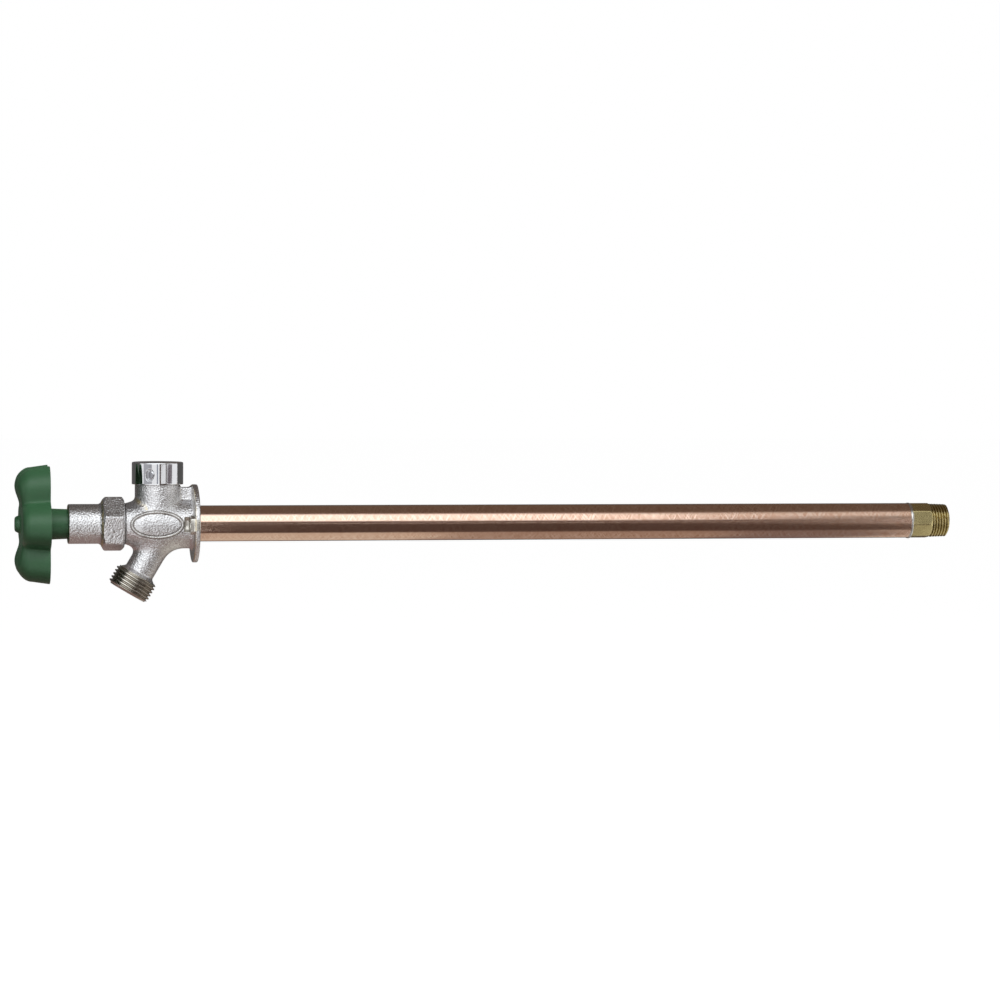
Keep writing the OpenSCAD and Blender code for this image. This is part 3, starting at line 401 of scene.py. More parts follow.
# Name, light and dark tone, roughness, width of the grain and its depth in millimetres.
RUBBER = dull_material("moulded_rubber", "#2a2c2e", "#1f2022", 0.6, 0.8, 0.02)
PACKING = dull_material("graphite_packing", "#47484b", "#2f3032", 0.45, 0.9, 0.12)
PLASTIC = dull_material("moulded_acetal", "#e2e0d8", "#d6d3c8", 0.35, 2.0, 0.01)
NODE_FINISH = {
    "tube_solder_ring": BRAZE, "packing_washer": BRASS, "packing_rings": PACKING,
    "packing_gland": BRASS, "vb_guide": PLASTIC, "vb_poppet": PLASTIC, "vb_poppet_seal": RUBBER,
    "vb_vent_seat": BRASS, "vb_o_ring": RUBBER, "washer_holder": BRASS, "swivel_collar": BRASS,
    "seat_washer": RUBBER, "seat_washer_screw": BRASS, "stem_rod": BRASS, "rod_clip": STEEL,
    "rod_pin": STEEL, "stem_head": BRASS, "handle_lock_washer": STEEL, "handle_screw": STEEL,
    "vb_cap_screw": CHROME,
}
for node_name, finish in NODE_FINISH.items():
    node_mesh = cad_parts[node_name].data
    node_mesh.materials.clear()
    node_mesh.materials.append(finish)
print("finished nodes:", len(NODE_FINISH))

# %% [markdown]
# ## The body casting
#
# A casting has no sharp inner corners: the barrel, the tower, the outlet, the gusset and the flange
# flow into each other in fillets. Booleans on meshes give hard seams, so the casting is written as
# a distance instead. Each part is the distance to a simple form, a smooth union fills the seams, and
# the bores are cut out last. The surface is where the distance is nought.

# %% Distances, and how they join
def smooth_join(a, b, fillet):
    """Union of two distances. With h the share of a near the seam, it is the mix of both less
    fillet h (1 - h)."""
    h = np.clip(0.5 + 0.5 * (b - a) / fillet, 0, 1)
    return b + (a - b) * h - fillet * h * (1 - h)


def smooth_cut(a, b, fillet):
    """a without b: the union turned inside out."""
    return -smooth_join(-a, b, fillet)


def round_bar(rho, along, radius, low, high, edge):
    """Distance to a bar whose rims are rounded by edge: a bar smaller by edge, grown by edge."""
    out = rho - (radius - edge)
    end = np.abs(along - (low + high) / 2) - ((high - low) / 2 - edge)
    return np.hypot(np.maximum(out, 0), np.maximum(end, 0)) + np.minimum(np.maximum(out, end), 0) - edge


def round_box(x, y, z, low, high, edge):
    """Distance to a box between two corners, its edges rounded in the same way."""
    gap = [np.abs(c - (l + h) / 2) - ((h - l) / 2 - edge) for c, l, h in zip((x, y, z), low, high)]
    outside = np.sqrt(sum(np.maximum(g, 0) ** 2 for g in gap))
    return outside + np.minimum(np.maximum(np.maximum(gap[0], gap[1]), gap[2]), 0) - edge


def outlet_reach(x, z):
    """How far down the outlet's axis a point lies, and how far beside it in the plane of symmetry."""
    down = (x - OUTLET_X) * OUTLET_DOWN[0] + z * OUTLET_DOWN[2]
    beside = (x - OUTLET_X) * OUTLET_SIDE[0] + z * OUTLET_SIDE[2]
    return down, beside

# %% [markdown]
# The outside is a union and the inside a list of cuts. FILLET holds the fillet widths of the real
# casting: wide where the outlet leaves the barrel, tight where the screw pads stand on the flange.
# EDGE holds how far each form's own rims are rounded. A bar whose radius changes along its axis is
# not quite a distance any more, so its value is scaled down a little.

# %% The casting as one distance
FILLET = {"tower": 2.6, "outlet": 5.5, "gusset": 1.6, "flange": 3.0, "pad": 0.8, "bore": 0.3,
          "screw": 0.25, "slot": 0.2}
EDGE = {"tower": 0.4, "gusset": 0.6, "flange": 0.45, "pad": 0.3, "neck": 0.3, "bore": 0.2, "screw": 0.1,
        "recess": 0.5}
SWELL_FROM_X = -BODY_LEN - 2.4
SWELL_TO_X = -BODY_LEN + 11
SWELL_SCALE = 0.97
NECK_X = -57.6
NECK_R = 11.0
THREAD_S = 37.3
OUTLET_FLARE = 1.1
FLARE_S = (8, 22)
COLLAR_OUT = 2.7
COLLAR_S = 34.0
OUTLET_SCALE = 0.9
GUSSET_LOW = (TOWER_X, -4.5, -2)
GUSSET_HIGH = (-1.2, 4.5, 22.4)


def casting_outside(x, y, z):
    """Barrel, tower, outlet, gusset, flange and screw pads joined by fillets."""
    rho = np.hypot(y, z)
    swell = BARREL_END_R + (BARREL_R - BARREL_END_R) * smoothstep(SWELL_FROM_X, SWELL_TO_X, x)
    shape = np.maximum(SWELL_SCALE * (rho - swell), np.maximum(-BODY_LEN - x, x + 1))
    tower = round_bar(np.hypot(x - TOWER_X, y), z, TOWER_R, 0, TOWER_TOP, EDGE["tower"])
    shape = smooth_join(shape, tower, FILLET["tower"])
    down, beside = outlet_reach(x, z)
    girth = OUTLET_NECK_R + OUTLET_FLARE * (1 - smoothstep(*FLARE_S, down))
    girth = girth + COLLAR_OUT * smoothstep(COLLAR_S, THREAD_S, down)
    outlet = np.maximum(OUTLET_SCALE * (np.hypot(beside, y) - girth), np.maximum(-down, down - THREAD_S))
    shape = smooth_join(shape, outlet, FILLET["outlet"])
    gusset = round_box(x, y, z, GUSSET_LOW, GUSSET_HIGH, EDGE["gusset"])
    shape = smooth_join(shape, gusset, FILLET["gusset"])
    flange = round_bar(rho, x, FLANGE_R, -FLANGE_T, 0, EDGE["flange"])
    shape = np.maximum(smooth_join(shape, flange, FILLET["flange"]), x)
    pad = round_bar(np.hypot(np.abs(y) - SCREW_Y, z), x, PAD_R, PAD_X, -1, EDGE["pad"])
    shape = smooth_join(shape, np.maximum(pad, rho - FLANGE_R + 0.4), FILLET["pad"])
    return np.minimum(shape, round_bar(rho, x, NECK_R, NECK_X, -BODY_LEN + 1, EDGE["neck"]))

# %% [markdown]
# Each bore is a bar on the axis of the barrel, of the tower or of the outlet, with a radius, a start
# and an end. On the barrel's axis lie the tube's socket, the water's room and the stem's passage. The
# tower and the outlet have a narrow waterway each, and a wider bore at their open end.

# %% Bores, screw holes and air slots
# Axis, radius, start and end.
BORES = [
    ("barrel", 11.25, -13, 5), ("barrel", 9.4, -38, -12), ("barrel", 7.0, -62, -36),
    ("tower", 6.5, 0, 13), ("tower", 10.6, 11.5, 40), ("outlet", 6.3, 0, 20), ("outlet", 7.25, 16, 60),
]
SCREW_HOLE_R = 2.8
RECESS_R = 6.1
RECESS_X = -8.8
SLOT_HALF = 1.5
SLOT_DEEP = 2


def casting(x, y, z):
    """The outside less its bores, screw holes, head recesses and air slots."""
    down, beside = outlet_reach(x, z)
    places = {"barrel": (np.hypot(y, z), x), "tower": (np.hypot(x - TOWER_X, y), z),
              "outlet": (np.hypot(beside, y), down)}
    bores = [round_bar(*places[axis], radius, low, high, EDGE["bore"])
             for axis, radius, low, high in BORES]
    shape = smooth_cut(casting_outside(x, y, z), np.minimum.reduce(bores), FILLET["bore"])
    beside_screw = np.hypot(np.abs(y) - SCREW_Y, z)
    hole = round_bar(beside_screw, x, SCREW_HOLE_R, -9, 5, EDGE["screw"])
    recess = round_bar(beside_screw, x, RECESS_R, RECESS_X, PAD_X, EDGE["recess"])
    shape = smooth_cut(shape, np.minimum(hole, recess), FILLET["screw"])
    slot_floor = TOWER_TOP - SLOT_DEEP - z
    slots = [np.maximum(np.abs(x - TOWER_X + side * y) / math.sqrt(2) - SLOT_HALF, slot_floor)
             for side in (-1, 1)]
    return smooth_cut(shape, np.minimum(*slots), FILLET["slot"])

# %% [markdown]
# **Surface nets** turn a distance into a mesh. Space is cut into small cells. Each cell that the
# surface passes through gets one point, the mean of the crossings on its edges. Each grid edge that
# is crossed gets a quad between the four cells round it. A few Newton steps, p - d grad(d), then
# pull the points onto the true surface, which takes the steps out of it.

# %% Surface nets
CELL_MM = 0.5
NET_LOW = (-59, -25.3, -44)
NET_HIGH = (1.1, 25.3, 35.4)
NEWTON_STEPS = 4
# A slope whose square is under this counts as this, so that no step grows too long.
FLAT_SLOPE = 0.25


def slope_of(distance, points, reach=0.02):
    """Gradient of a distance by central differences over reach millimetres."""
    slope = np.empty_like(points)
    for axis in range(3):
        shift = np.zeros(3)
        shift[axis] = reach
        ahead = distance(*(points + shift).T)
        behind = distance(*(points - shift).T)
        slope[:, axis] = (ahead - behind) / (2 * reach)
    return slope


def surface_nets(distance, low, high, step):
    """Points and quads of the surface where distance is nought, on a grid of cells step wide."""
    low = np.asarray(low, float)
    lines = [np.arange(l, h, step) for l, h in zip(low, high)]
    value = distance(*np.meshgrid(*lines, indexing="ij"))
    inside = value < 0
    cells = np.array(value.shape) - 1
    total = np.zeros((*cells, 3))
    count = np.zeros(cells)
    edges = []
    for axis in range(3):
        first = [slice(None)] * 3
        second = [slice(None)] * 3
        first[axis], second[axis] = slice(0, -1), slice(1, None)
        first, second = tuple(first), tuple(second)
        crossed = inside[first] != inside[second]
        share = np.where(crossed, value[first] / np.where(crossed, value[first] - value[second], 1), 0)
        u, v = (axis + 1) % 3, (axis + 2) % 3
        for du, dv in ((0, 0), (1, 0), (0, 1), (1, 1)):
            part = [slice(None)] * 3
            part[u], part[v] = slice(du, du + cells[u]), slice(dv, dv + cells[v])
            hit = crossed[tuple(part)]
            count += hit
            total[..., axis] += share[tuple(part)]
            total[..., u] += hit * du
            total[..., v] += hit * dv
        edges.append((axis, np.argwhere(crossed), inside[first][crossed]))
    used = count > 0
    number = np.full(cells, -1)
    number[used] = np.arange(used.sum())
    points = low + step * (np.argwhere(used) + total[used] / count[used][:, None])
    quads = []
    for axis, where, solid_below in edges:
        u, v = (axis + 1) % 3, (axis + 2) % 3
        ring = []
        for du, dv in ((-1, -1), (0, -1), (0, 0), (-1, 0)):
            cell = where.copy()
            cell[:, u] += du
            cell[:, v] += dv
            ring.append(number[tuple(cell.T)])
        ring = np.stack(ring, -1)
        quads.append(np.where(solid_below[:, None], ring, ring[:, ::-1]))
    for _ in range(NEWTON_STEPS):
        slope = slope_of(distance, points)
        size = np.maximum((slope ** 2).sum(1), FLAT_SLOPE)
        move = distance(*points.T)[:, None] * slope / size[:, None]
        points = points - np.clip(move, -step / 2, step / 2)
    return points, np.concatenate(quads)


net_points, net_quads = surface_nets(casting, NET_LOW, NET_HIGH, CELL_MM)
body = add_mesh("body_casting", net_points, net_quads, crease=50)
finish_piece(body, "root", ["hydrant_body"], CASTING)

# %% [markdown]
# The lathe and the drill have cleaned some faces of the casting: the front of the flange, the screw
# pads with their recesses, the wall face, the neck and the tower's top. An attribute on the mesh is
# one there and nought on the sand-cast skin.

# %% Where the casting is machined
def mark(obj, name, share_at):
    """Stores a share from nought to one at each vertex. share_at gets x, y and z in millimetres."""
    flat = np.empty(len(obj.data.vertices) * 3)
    obj.data.vertices.foreach_get("co", flat)
    share = np.asarray(share_at(*(flat.reshape(-1, 3) / MM).T), float)
    obj.data.attributes.new(name, "FLOAT", "POINT").data.foreach_set("value", share)
    print(obj.name, name, round(float(share.mean()), 3))


def cleaned_faces(x, y, z):
    """True near the planes that the lathe faced and round the screws."""
    flange_front = (x > -FLANGE_T - 0.5) & (np.hypot(y, z) < FLANGE_R - 0.5)
    pads = (np.hypot(np.abs(y) - SCREW_Y, z) < PAD_R + 0.2) & (x > RECESS_X - 0.4)
    wall_face = x > -0.2
    neck = x < -BODY_LEN - 0.1
    tower_top = z > TOWER_TOP - 0.4
    return flange_front | pads | wall_face | neck | tower_top


def rubbed_edges(x, y, z):
    """The flange's front edge, and the crease on the handle's side of the tower."""
    rim = (np.hypot(y, z) > FLANGE_R - 0.7) & (np.abs(x + FLANGE_T) < 0.7)
    off_tower = np.abs(np.hypot(x - TOWER_X, y) - TOWER_R)
    off_barrel = np.abs(np.hypot(y, z) - BARREL_R)
    crease = (1 - smoothstep(0.6, 2.2, np.maximum(off_tower, off_barrel))) * (x < TOWER_X - 7) * (z > 9)
    return np.maximum(rim, crease)


mark(body, "machined", cleaned_faces)
mark(body, "worn", rubbed_edges)

# %% [markdown]
# ## The oval badge
#
# The side of the barrel carries an oval ring as a frame for a badge, and its field is bare here. The
# ring is a half-round bead swept along an ellipse. Each point of the ellipse is first dropped on the
# casting with Newton steps as before, and the slope there gives the direction in which the bead
# stands out. A thin line of painted shade darkens the casting at its foot.

# %% Badge ring
BADGE_X = -25.6
BADGE_W = 32.0
BADGE_H = 16.7
BEAD_W = 1.3
BEAD_OUT = 0.7
# The bead is smoother than the cast skin round it, but not as smooth as a turned face.
BEAD_MACHINED = 0.4
DROP_STEPS = 8
badge_turn = np.linspace(0, 2 * math.pi, 240, endpoint=False)
oval = np.stack([BADGE_X + (BADGE_W - BEAD_W) / 2 * np.cos(badge_turn), -BARREL_R + 0 * badge_turn,
                 (BADGE_H - BEAD_W) / 2 * np.sin(badge_turn)], -1)
for _ in range(DROP_STEPS):
    oval_slope = slope_of(casting_outside, oval)
    drop = casting_outside(*oval.T)
    oval[:, 1] -= drop / oval_slope[:, 1]
bead_up = oval_slope / np.linalg.norm(oval_slope, axis=1)[:, None]
bead_run = np.roll(oval, -1, 0) - np.roll(oval, 1, 0)
bead_aside = np.cross(bead_up, bead_run / np.linalg.norm(bead_run, axis=1)[:, None])
bead_round = np.linspace(0, 2 * math.pi, 16, endpoint=False)[None, :, None]
bead = (oval[:, None] + bead_aside[:, None] * BEAD_W / 2 * np.cos(bead_round)
        + bead_up[:, None] * BEAD_OUT * np.sin(bead_round))
badge = add_mesh("badge_bead", bead, grid_faces(len(badge_turn), bead_round.shape[1], loop=True))
finish_piece(badge, "root", ["hydrant_body"], CASTING)
mark(badge, "machined", lambda x, y, z: BEAD_MACHINED + 0 * x)


# The painted shade at the bead's foot is full out to the first distance and gone at the second.
BEAD_SHADE_FULL_MM = 1.1
BEAD_SHADE_END_MM = 1.4


def beside_bead(x, y, z):
    """Painted shade at the foot of the bead: one up to 1.1 mm from the ellipse, nought from 1.4 mm on,
    and only on the ellipse's own side."""
    near_x = np.abs(x - BADGE_X) < BADGE_W / 2 + 2
    near_z = np.abs(z) < BADGE_H / 2 + 2
    near = np.flatnonzero((y < -6) & near_x & near_z)
    points = np.stack([x[near], y[near], z[near]], -1)
    gap = np.min([np.linalg.norm(points - p, axis=1) for p in oval], axis=0)
    share = np.zeros(len(x))
    share[near] = smoothstep(BEAD_SHADE_END_MM, BEAD_SHADE_FULL_MM, gap)
    return share


mark(body, "painted_shade", beside_bead)

# %% [markdown]
# ## Threads
#
# A thread is a ridge that climbs one pitch in each turn. On a grid of angle and length its height
# depends only on length / pitch - angle / 360, which makes a true helix. The ridge has steep straight
# flanks and a narrow flat on top, and it fades out over its first and last turn.

# %% The height of a thread
THREAD_DEPTH = 0.62
FLANK_FOOT = 0.42
FLANK_RUN = 0.28


def thread_ridge(along, angle, start, end, pitch):
    """Height over the root: with q the distance from the ridge's middle in pitches, it falls
    straight from full at q = 0.14 to nought at q = 0.42, and fades in and out along the helix."""
    climb = (along - start) / pitch - angle / (2 * math.pi)
    q = np.abs((climb % 1.0) - 0.5)
    ridge = np.clip((FLANK_FOOT - q) / FLANK_RUN, 0, 1)
    ends = smoothstep(0, 0.8, (along - start) / pitch) * smoothstep(0, 0.7, (end - along) / pitch)
    return THREAD_DEPTH * pitch * ridge * ends


def join_rows(*parts):
    """Stacks (along, radius) rows, each broadcast to the same columns."""
    cols = max(np.shape(r)[-1] if np.ndim(r) > 1 else 1 for _, r in parts)
    rows_along, rows_radius = [], []
    for a, r in parts:
        r = r if np.ndim(r) > 1 else np.reshape(r, (-1, 1))
        rows_along.append(np.broadcast_to(np.reshape(a, (-1, 1)), (np.size(a), cols)))
        rows_radius.append(np.broadcast_to(r, (np.size(a), cols)))
    return np.concatenate(rows_along), np.concatenate(rows_radius)

# %% [markdown]
# The hose thread stands at the end of the outlet. Its grid runs down the outside, round the end face
# and back up the bore, so it is one closed skin that starts inside the casting's neck.

# %% Hose thread
HOSE_ROW_MM = 0.085
HOSE_START_S = THREAD_S - 0.8
MOUTH_CHAMFER_R = 7.9
MOUTH_FACE_R = 10.5
MOUTH_R = 7.2
hose_turn = np.linspace(0, 2 * math.pi, 180, endpoint=False)[None, :]
hose_root = HOSE_R - THREAD_DEPTH * HOSE_PITCH
hose_s = np.arange(HOSE_START_S, OUTLET_LEN - 0.45, HOSE_ROW_MM)[:, None]
hose_skin = hose_root + thread_ridge(hose_s, hose_turn, THREAD_S - 1.2, OUTLET_LEN + 0.3, HOSE_PITCH)
hose_skin = np.minimum(hose_skin, HOSE_R - 1.6 * smoothstep(OUTLET_LEN - 1.6, OUTLET_LEN - 0.3, hose_s))
s_rows, hose_rows = join_rows(
    (hose_s, hose_skin),
    ([OUTLET_LEN - 0.25, OUTLET_LEN], [hose_root - 0.15, hose_root - 0.5]),
    ([OUTLET_LEN, OUTLET_LEN, OUTLET_LEN - 0.6], [MOUTH_FACE_R, MOUTH_CHAMFER_R, MOUTH_R]),
    ([OUTLET_LEN - 6, HOSE_START_S, HOSE_START_S], [MOUTH_R, MOUTH_R, hose_root - 1.2]),
)
hose_points = (np.array([OUTLET_X, 0, 0]) + s_rows[..., None] * OUTLET_DOWN
               + (hose_rows * np.cos(hose_turn))[..., None] * OUTLET_SIDE
               + (hose_rows * np.sin(hose_turn))[..., None] * np.array([0, 1.0, 0]))
hose = add_mesh("hose_thread", hose_points, grid_faces(*s_rows.shape, loop=True), crease=60)
finish_piece(hose, "root", ["hydrant_body"], HOSE_METAL)

# %% [markdown]
# ## Wrench flats
#
# A bar with flats that are w apart has the radius w/2 / cos(a) at the angle a from the middle of the
# nearest flat. Written as a sum over the pairs of flats with a high power, the same formula also
# rounds the corners a little, as a forging or a worn nut has them.

# %% The radius of a bar with flats
def flats_radius(angle, across_flats, sides, turn_degrees, power=60):
    """across_flats / 2 over the power mean of |cos| to each pair of flats."""
    middles = math.radians(turn_degrees) + 2 * math.pi / sides * np.arange(sides // 2)
    return across_flats / 2 / sum(np.abs(np.cos(angle - m)) ** power for m in middles) ** (1 / power)


def soft_low(*radii, power=40):
    """The lowest of several radii, with the crease between them rounded: a power mean of the
    inverses."""
    lowest = np.minimum.reduce(np.broadcast_arrays(*radii))
    return lowest * sum((lowest / r) ** power for r in radii) ** (-1 / power)


def columns_on_corners(sides, turn_degrees, count=240):
    """Angles round the axis, set so that a column lies on each corner."""
    steps = np.linspace(0, 2 * math.pi, count, endpoint=False)
    return math.radians(turn_degrees - 180 / sides) + steps[None, :]

# %% [markdown]
# The bonnet is a packing nut: a hexagon, a round barrel, and a mouth that takes the handle's sleeve.
# Cones at both ends of the hexagon cut its corners back, which gives the curved chamfers.

# %% Bonnet
BONNET_X = -45.0
HEX_END_X = -59.3
BONNET_END_X = -79.2
BONNET_AF = 30.16
BONNET_R = 12.2
BONNET_TURN = 13.5
FRONT_CONE = 1.885
BACK_CONE = 1.87
LIP_R = 0.9
MOUTH_FLOOR_X = -69.0
SLEEVE_ROOM_R = 10.0
STEM_HOLE_R = 5.05
NUT_ROOM_R = 12.0
NUT_CHAMFER_R = 13.4
PACKING_ROOM_R = 8.6
NUT_ROOM_X = -58.8
PACKING_FLOOR_X = -67.0
bonnet_turn = columns_on_corners(6, BONNET_TURN)
hexagon = flats_radius(bonnet_turn, BONNET_AF, 6, BONNET_TURN)
hex_x = np.linspace(HEX_END_X, BONNET_X, 96)[:, None]
front_cone = BONNET_R + 0.6 + (hex_x - HEX_END_X) * FRONT_CONE
back_cone = BONNET_AF / 2 - 0.4 + (BONNET_X - hex_x) * BACK_CONE
hex_r = soft_low(hexagon, front_cone, back_cone)
barrel_x = np.linspace(BONNET_END_X + LIP_R, HEX_END_X - 0.02, 40)[:, None]
barrel_r = BONNET_R + 0.7 * smoothstep(HEX_END_X - 1.6, HEX_END_X, barrel_x) ** 2 + 0 * bonnet_turn
lip = np.linspace(0, math.pi / 2, 7)
lip_x = BONNET_END_X + LIP_R - LIP_R * np.cos(lip)
lip_r = BONNET_R - LIP_R + LIP_R * np.sin(lip)
bonnet_x, bonnet_r = join_rows(
    ([MOUTH_FLOOR_X, MOUTH_FLOOR_X, BONNET_END_X + 0.5, BONNET_END_X],
     [STEM_HOLE_R, SLEEVE_ROOM_R, SLEEVE_ROOM_R, SLEEVE_ROOM_R + 0.45]),
    (lip_x, lip_r),
    (barrel_x, barrel_r),
    (hex_x, hex_r),
    ([BONNET_X, BONNET_X, NUT_ROOM_X, NUT_ROOM_X, PACKING_FLOOR_X, PACKING_FLOOR_X],
     [NUT_CHAMFER_R, NUT_ROOM_R, NUT_ROOM_R, PACKING_ROOM_R, PACKING_ROOM_R, STEM_HOLE_R]),
)
bonnet_points = around(bonnet_turn, bonnet_r, bonnet_x)
bonnet = add_mesh("bonnet_shell", bonnet_points, grid_faces(*bonnet_x.shape, loop=True), crease=42)
finish_piece(bonnet, "root", ["bonnet_nut"], CASTING)
mark(bonnet, "machined", lambda x, y, z: (x < BONNET_END_X + 0.3) | (np.hypot(y, z) < BONNET_R - 0.4))
mark(bonnet, "worn", lambda x, y, z: (x < BONNET_END_X + 0.6) | (np.abs(x - HEX_END_X - 0.7) < 0.6))

# %% [markdown]
# The tube is drawn copper, cut square and broken at its edges.

# %% Copper tube
TUBE_WALL = 1.143
TUBE_X = -13.0
TUBE_BREAK = 0.25
WALL_REACH = 457.2
tube_turn = np.linspace(0, 2 * math.pi, 192, endpoint=False)[None, :]
tube_x, tube_r = join_rows(
    ([TUBE_X, TUBE_X + TUBE_BREAK], [TUBE_R - TUBE_BREAK, TUBE_R]),
    (np.linspace(TUBE_X + 5, WALL_REACH - 5, 40), np.full(40, TUBE_R)),
    ([WALL_REACH - TUBE_BREAK, WALL_REACH], [TUBE_R, TUBE_R - TUBE_BREAK]),
    ([WALL_REACH, TUBE_X], [TUBE_R - TUBE_WALL, TUBE_R - TUBE_WALL]),
)
tube_points = around(tube_turn, tube_r, tube_x)
tube = add_mesh("copper_pipe", tube_points, grid_faces(len(tube_x), tube_turn.size, loop=True))
finish_piece(tube, "root", ["supply_tube"], COPPER)

# %% [markdown]
# The inlet fitting is turned from bar: eight flats with chamfers, a tapered pipe thread, a socket for
# a soldered tube, and a spigot inside the copper tube that ends in the valve seat.

# %% Inlet fitting
FLATS_X = 457.8
FLATS_END_X = 471.2
INLET_END_X = 482.68
INLET_AF = 21.2
INLET_TURN = -12.0
FLATS_BACK_SLOPE = 1.0
FLATS_FRONT_SLOPE = 0.7
PIPE_R = 10.67
PIPE_PITCH = 1.814
PIPE_ROW_MM = 0.08
# A pipe thread narrows by one part in sixteen of its length, so its radius does by one in 32.
TAPER = 32
SEAT_X = 443.0
SEAT_BACK_X = 446.0
SEAT_BORE_R = 5.6
SEAT_LIP_R = 7.2
SPIGOT_R = 9.9
WATERWAY_R = 6.35
SOCKET_R = 7.975
SOCKET_FLOOR_X = 469.98
inlet_turn = columns_on_corners(8, INLET_TURN)
octagon = flats_radius(inlet_turn, INLET_AF, 8, INLET_TURN, power=90)
flats_x = np.linspace(FLATS_X, FLATS_END_X, 96)[:, None]
back_chamfer = INLET_AF / 2 + 0.3 + (flats_x - FLATS_X) * FLATS_BACK_SLOPE
front_chamfer = INLET_AF / 2 - 0.2 + (FLATS_END_X - flats_x) * FLATS_FRONT_SLOPE
flats_r = soft_low(octagon, back_chamfer, front_chamfer, power=150)
pipe_root = PIPE_R - THREAD_DEPTH * PIPE_PITCH
pipe_x = np.arange(FLATS_END_X + 0.1, INLET_END_X - 0.35, PIPE_ROW_MM)[:, None]
pipe_ridge = thread_ridge(pipe_x, inlet_turn, FLATS_END_X - 0.9, INLET_END_X + 0.6, PIPE_PITCH)
pipe_r = pipe_root - (pipe_x - FLATS_END_X) / TAPER + pipe_ridge
inlet_x, inlet_r = join_rows(
    ([SEAT_X, SEAT_X, SEAT_X + 2, SEAT_X + 2, WALL_REACH, WALL_REACH + 0.3],
     [SEAT_BORE_R, SEAT_LIP_R, SEAT_LIP_R + 0.4, SPIGOT_R, SPIGOT_R, SPIGOT_R]),
    (flats_x, flats_r),
    (pipe_x, pipe_r),
    ([INLET_END_X - 0.3, INLET_END_X, INLET_END_X], [pipe_root - 0.4, pipe_root - 0.7, SOCKET_R + 0.425]),
    ([INLET_END_X - 0.4, SOCKET_FLOOR_X, SOCKET_FLOOR_X, SEAT_BACK_X, SEAT_BACK_X],
     [SOCKET_R, SOCKET_R, WATERWAY_R, WATERWAY_R, SEAT_BORE_R]),
)
inlet_points = around(inlet_turn, inlet_r, inlet_x)
fitting = add_mesh("inlet_end", inlet_points, grid_faces(*inlet_x.shape, loop=True), crease=38)
finish_piece(fitting, "root", ["inlet_fitting"], BRASS)

# %% [markdown]
# Silver braze joins the tube to the fitting. It froze as a bead in the groove between them: a ring
# whose section is an ellipse, with its size and place wandering a little round the joint.

# %% Braze bead
BRAZE_X = 457.4
BRAZE_HALF_W = 0.85
BRAZE_HALF_H = 0.5
joint_turn = np.linspace(0, 2 * math.pi, 180, endpoint=False)[:, None]
braze_round = np.linspace(0, 2 * math.pi, 20, endpoint=False)[None, :]
wander = 0.12 * np.sin(3 * joint_turn + 1) + 0.08 * np.sin(7 * joint_turn)
braze_x = BRAZE_X + 0.4 * wander + (BRAZE_HALF_W + wander) * np.cos(braze_round)
braze_r = TUBE_R - 0.12 + (BRAZE_HALF_H + 0.5 * wander) * np.sin(braze_round)
braze_points = around(joint_turn, braze_r, braze_x)
braze = add_mesh("braze_bead", braze_points, grid_faces(*braze_x.shape, loop=True))
finish_piece(braze, "root", ["inlet_solder_ring"], BRAZE)

# %% [markdown]
# ## The cap
#
# The vacuum breaker's cap is spun brass, polished and chromed, with a crisp rounded top edge. A screw
# locks it, and its head is broken off on purpose, so an oval dimple with a rough bright stub is left.
# The dimple is a dent in the radius: the wall goes in by its depth inside an oval, over a short ramp.
# The columns crowd together at the dimple, where the shape needs them.

# %% Cap
CAP_R = 15.75
CAP_Z = 24.3
CAP_TOP = 38.0
CAP_EDGE_R = 0.9
CAP_CEILING_Z = 36.4
CAP_INNER_R = 14.35
RIM_INNER_R = 13.5
VENT_ROOM_R = 11.9
SCREW_Z = 30.3
SCREW_TURN = math.radians(270 - 22.5)
OVAL_W = 5.8
OVAL_H = 7.7
DENT_DEPTH = 1.15
spread = np.linspace(-1, 1, 301)
cap_turn = SCREW_TURN + math.pi * (0.35 * spread + 0.65 * spread ** 3)
cap_turn = cap_turn[None, :-1]


def oval_reach(turn, height):
    """Distance from the dimple's middle as a share of the oval's radius."""
    return np.hypot((turn - SCREW_TURN) * CAP_R / (OVAL_W / 2), (height - SCREW_Z) / (OVAL_H / 2))


wall_z = np.concatenate([[CAP_Z + 0.35], np.linspace(CAP_Z + 0.8, CAP_TOP - CAP_EDGE_R, 88)])[:, None]
dent = DENT_DEPTH * (1 - smoothstep(0.86, 1.04, oval_reach(cap_turn, wall_z)))
top_edge = np.linspace(0, math.pi / 2, 9)[1:]
edge_z = CAP_TOP - CAP_EDGE_R + CAP_EDGE_R * np.sin(top_edge)
edge_r = CAP_R - CAP_EDGE_R + CAP_EDGE_R * np.cos(top_edge)
z_rows, cap_rows = join_rows(
    ([CAP_CEILING_Z, CAP_CEILING_Z, TOWER_TOP, TOWER_TOP, CAP_CEILING_Z, CAP_CEILING_Z],
     [0.0, VENT_ROOM_R, VENT_ROOM_R, RIM_INNER_R, RIM_INNER_R, CAP_INNER_R]),
    ([CAP_Z + 0.2, CAP_Z], [CAP_INNER_R, CAP_INNER_R + 0.2]),
    ([CAP_Z, CAP_Z + 0.12], [CAP_R - 0.35, CAP_R - 0.1]),
    (wall_z, CAP_R - dent),
    (edge_z, edge_r),
    ([CAP_TOP, CAP_TOP, CAP_TOP], [10.0, 4.0, 0.0]),
)
cap_points = np.stack([TOWER_X + cap_rows * np.cos(cap_turn), cap_rows * np.sin(cap_turn), z_rows], -1)
cap = add_mesh("cap_shell", cap_points, grid_faces(*z_rows.shape), crease=40)
finish_piece(cap, "root", ["vb_cap"], CHROME)

# %% [markdown]
# ## The wheel
#
# The handle is one casting: six lobes round a hub, domed on the four that don't point sideways, a
# hollow back with a rib to each lobe, a boss for the screw and a sleeve that enters the bonnet. Its
# outline is the outer one of neighbouring lobes' circles, joined as smoothly as the casting's parts.

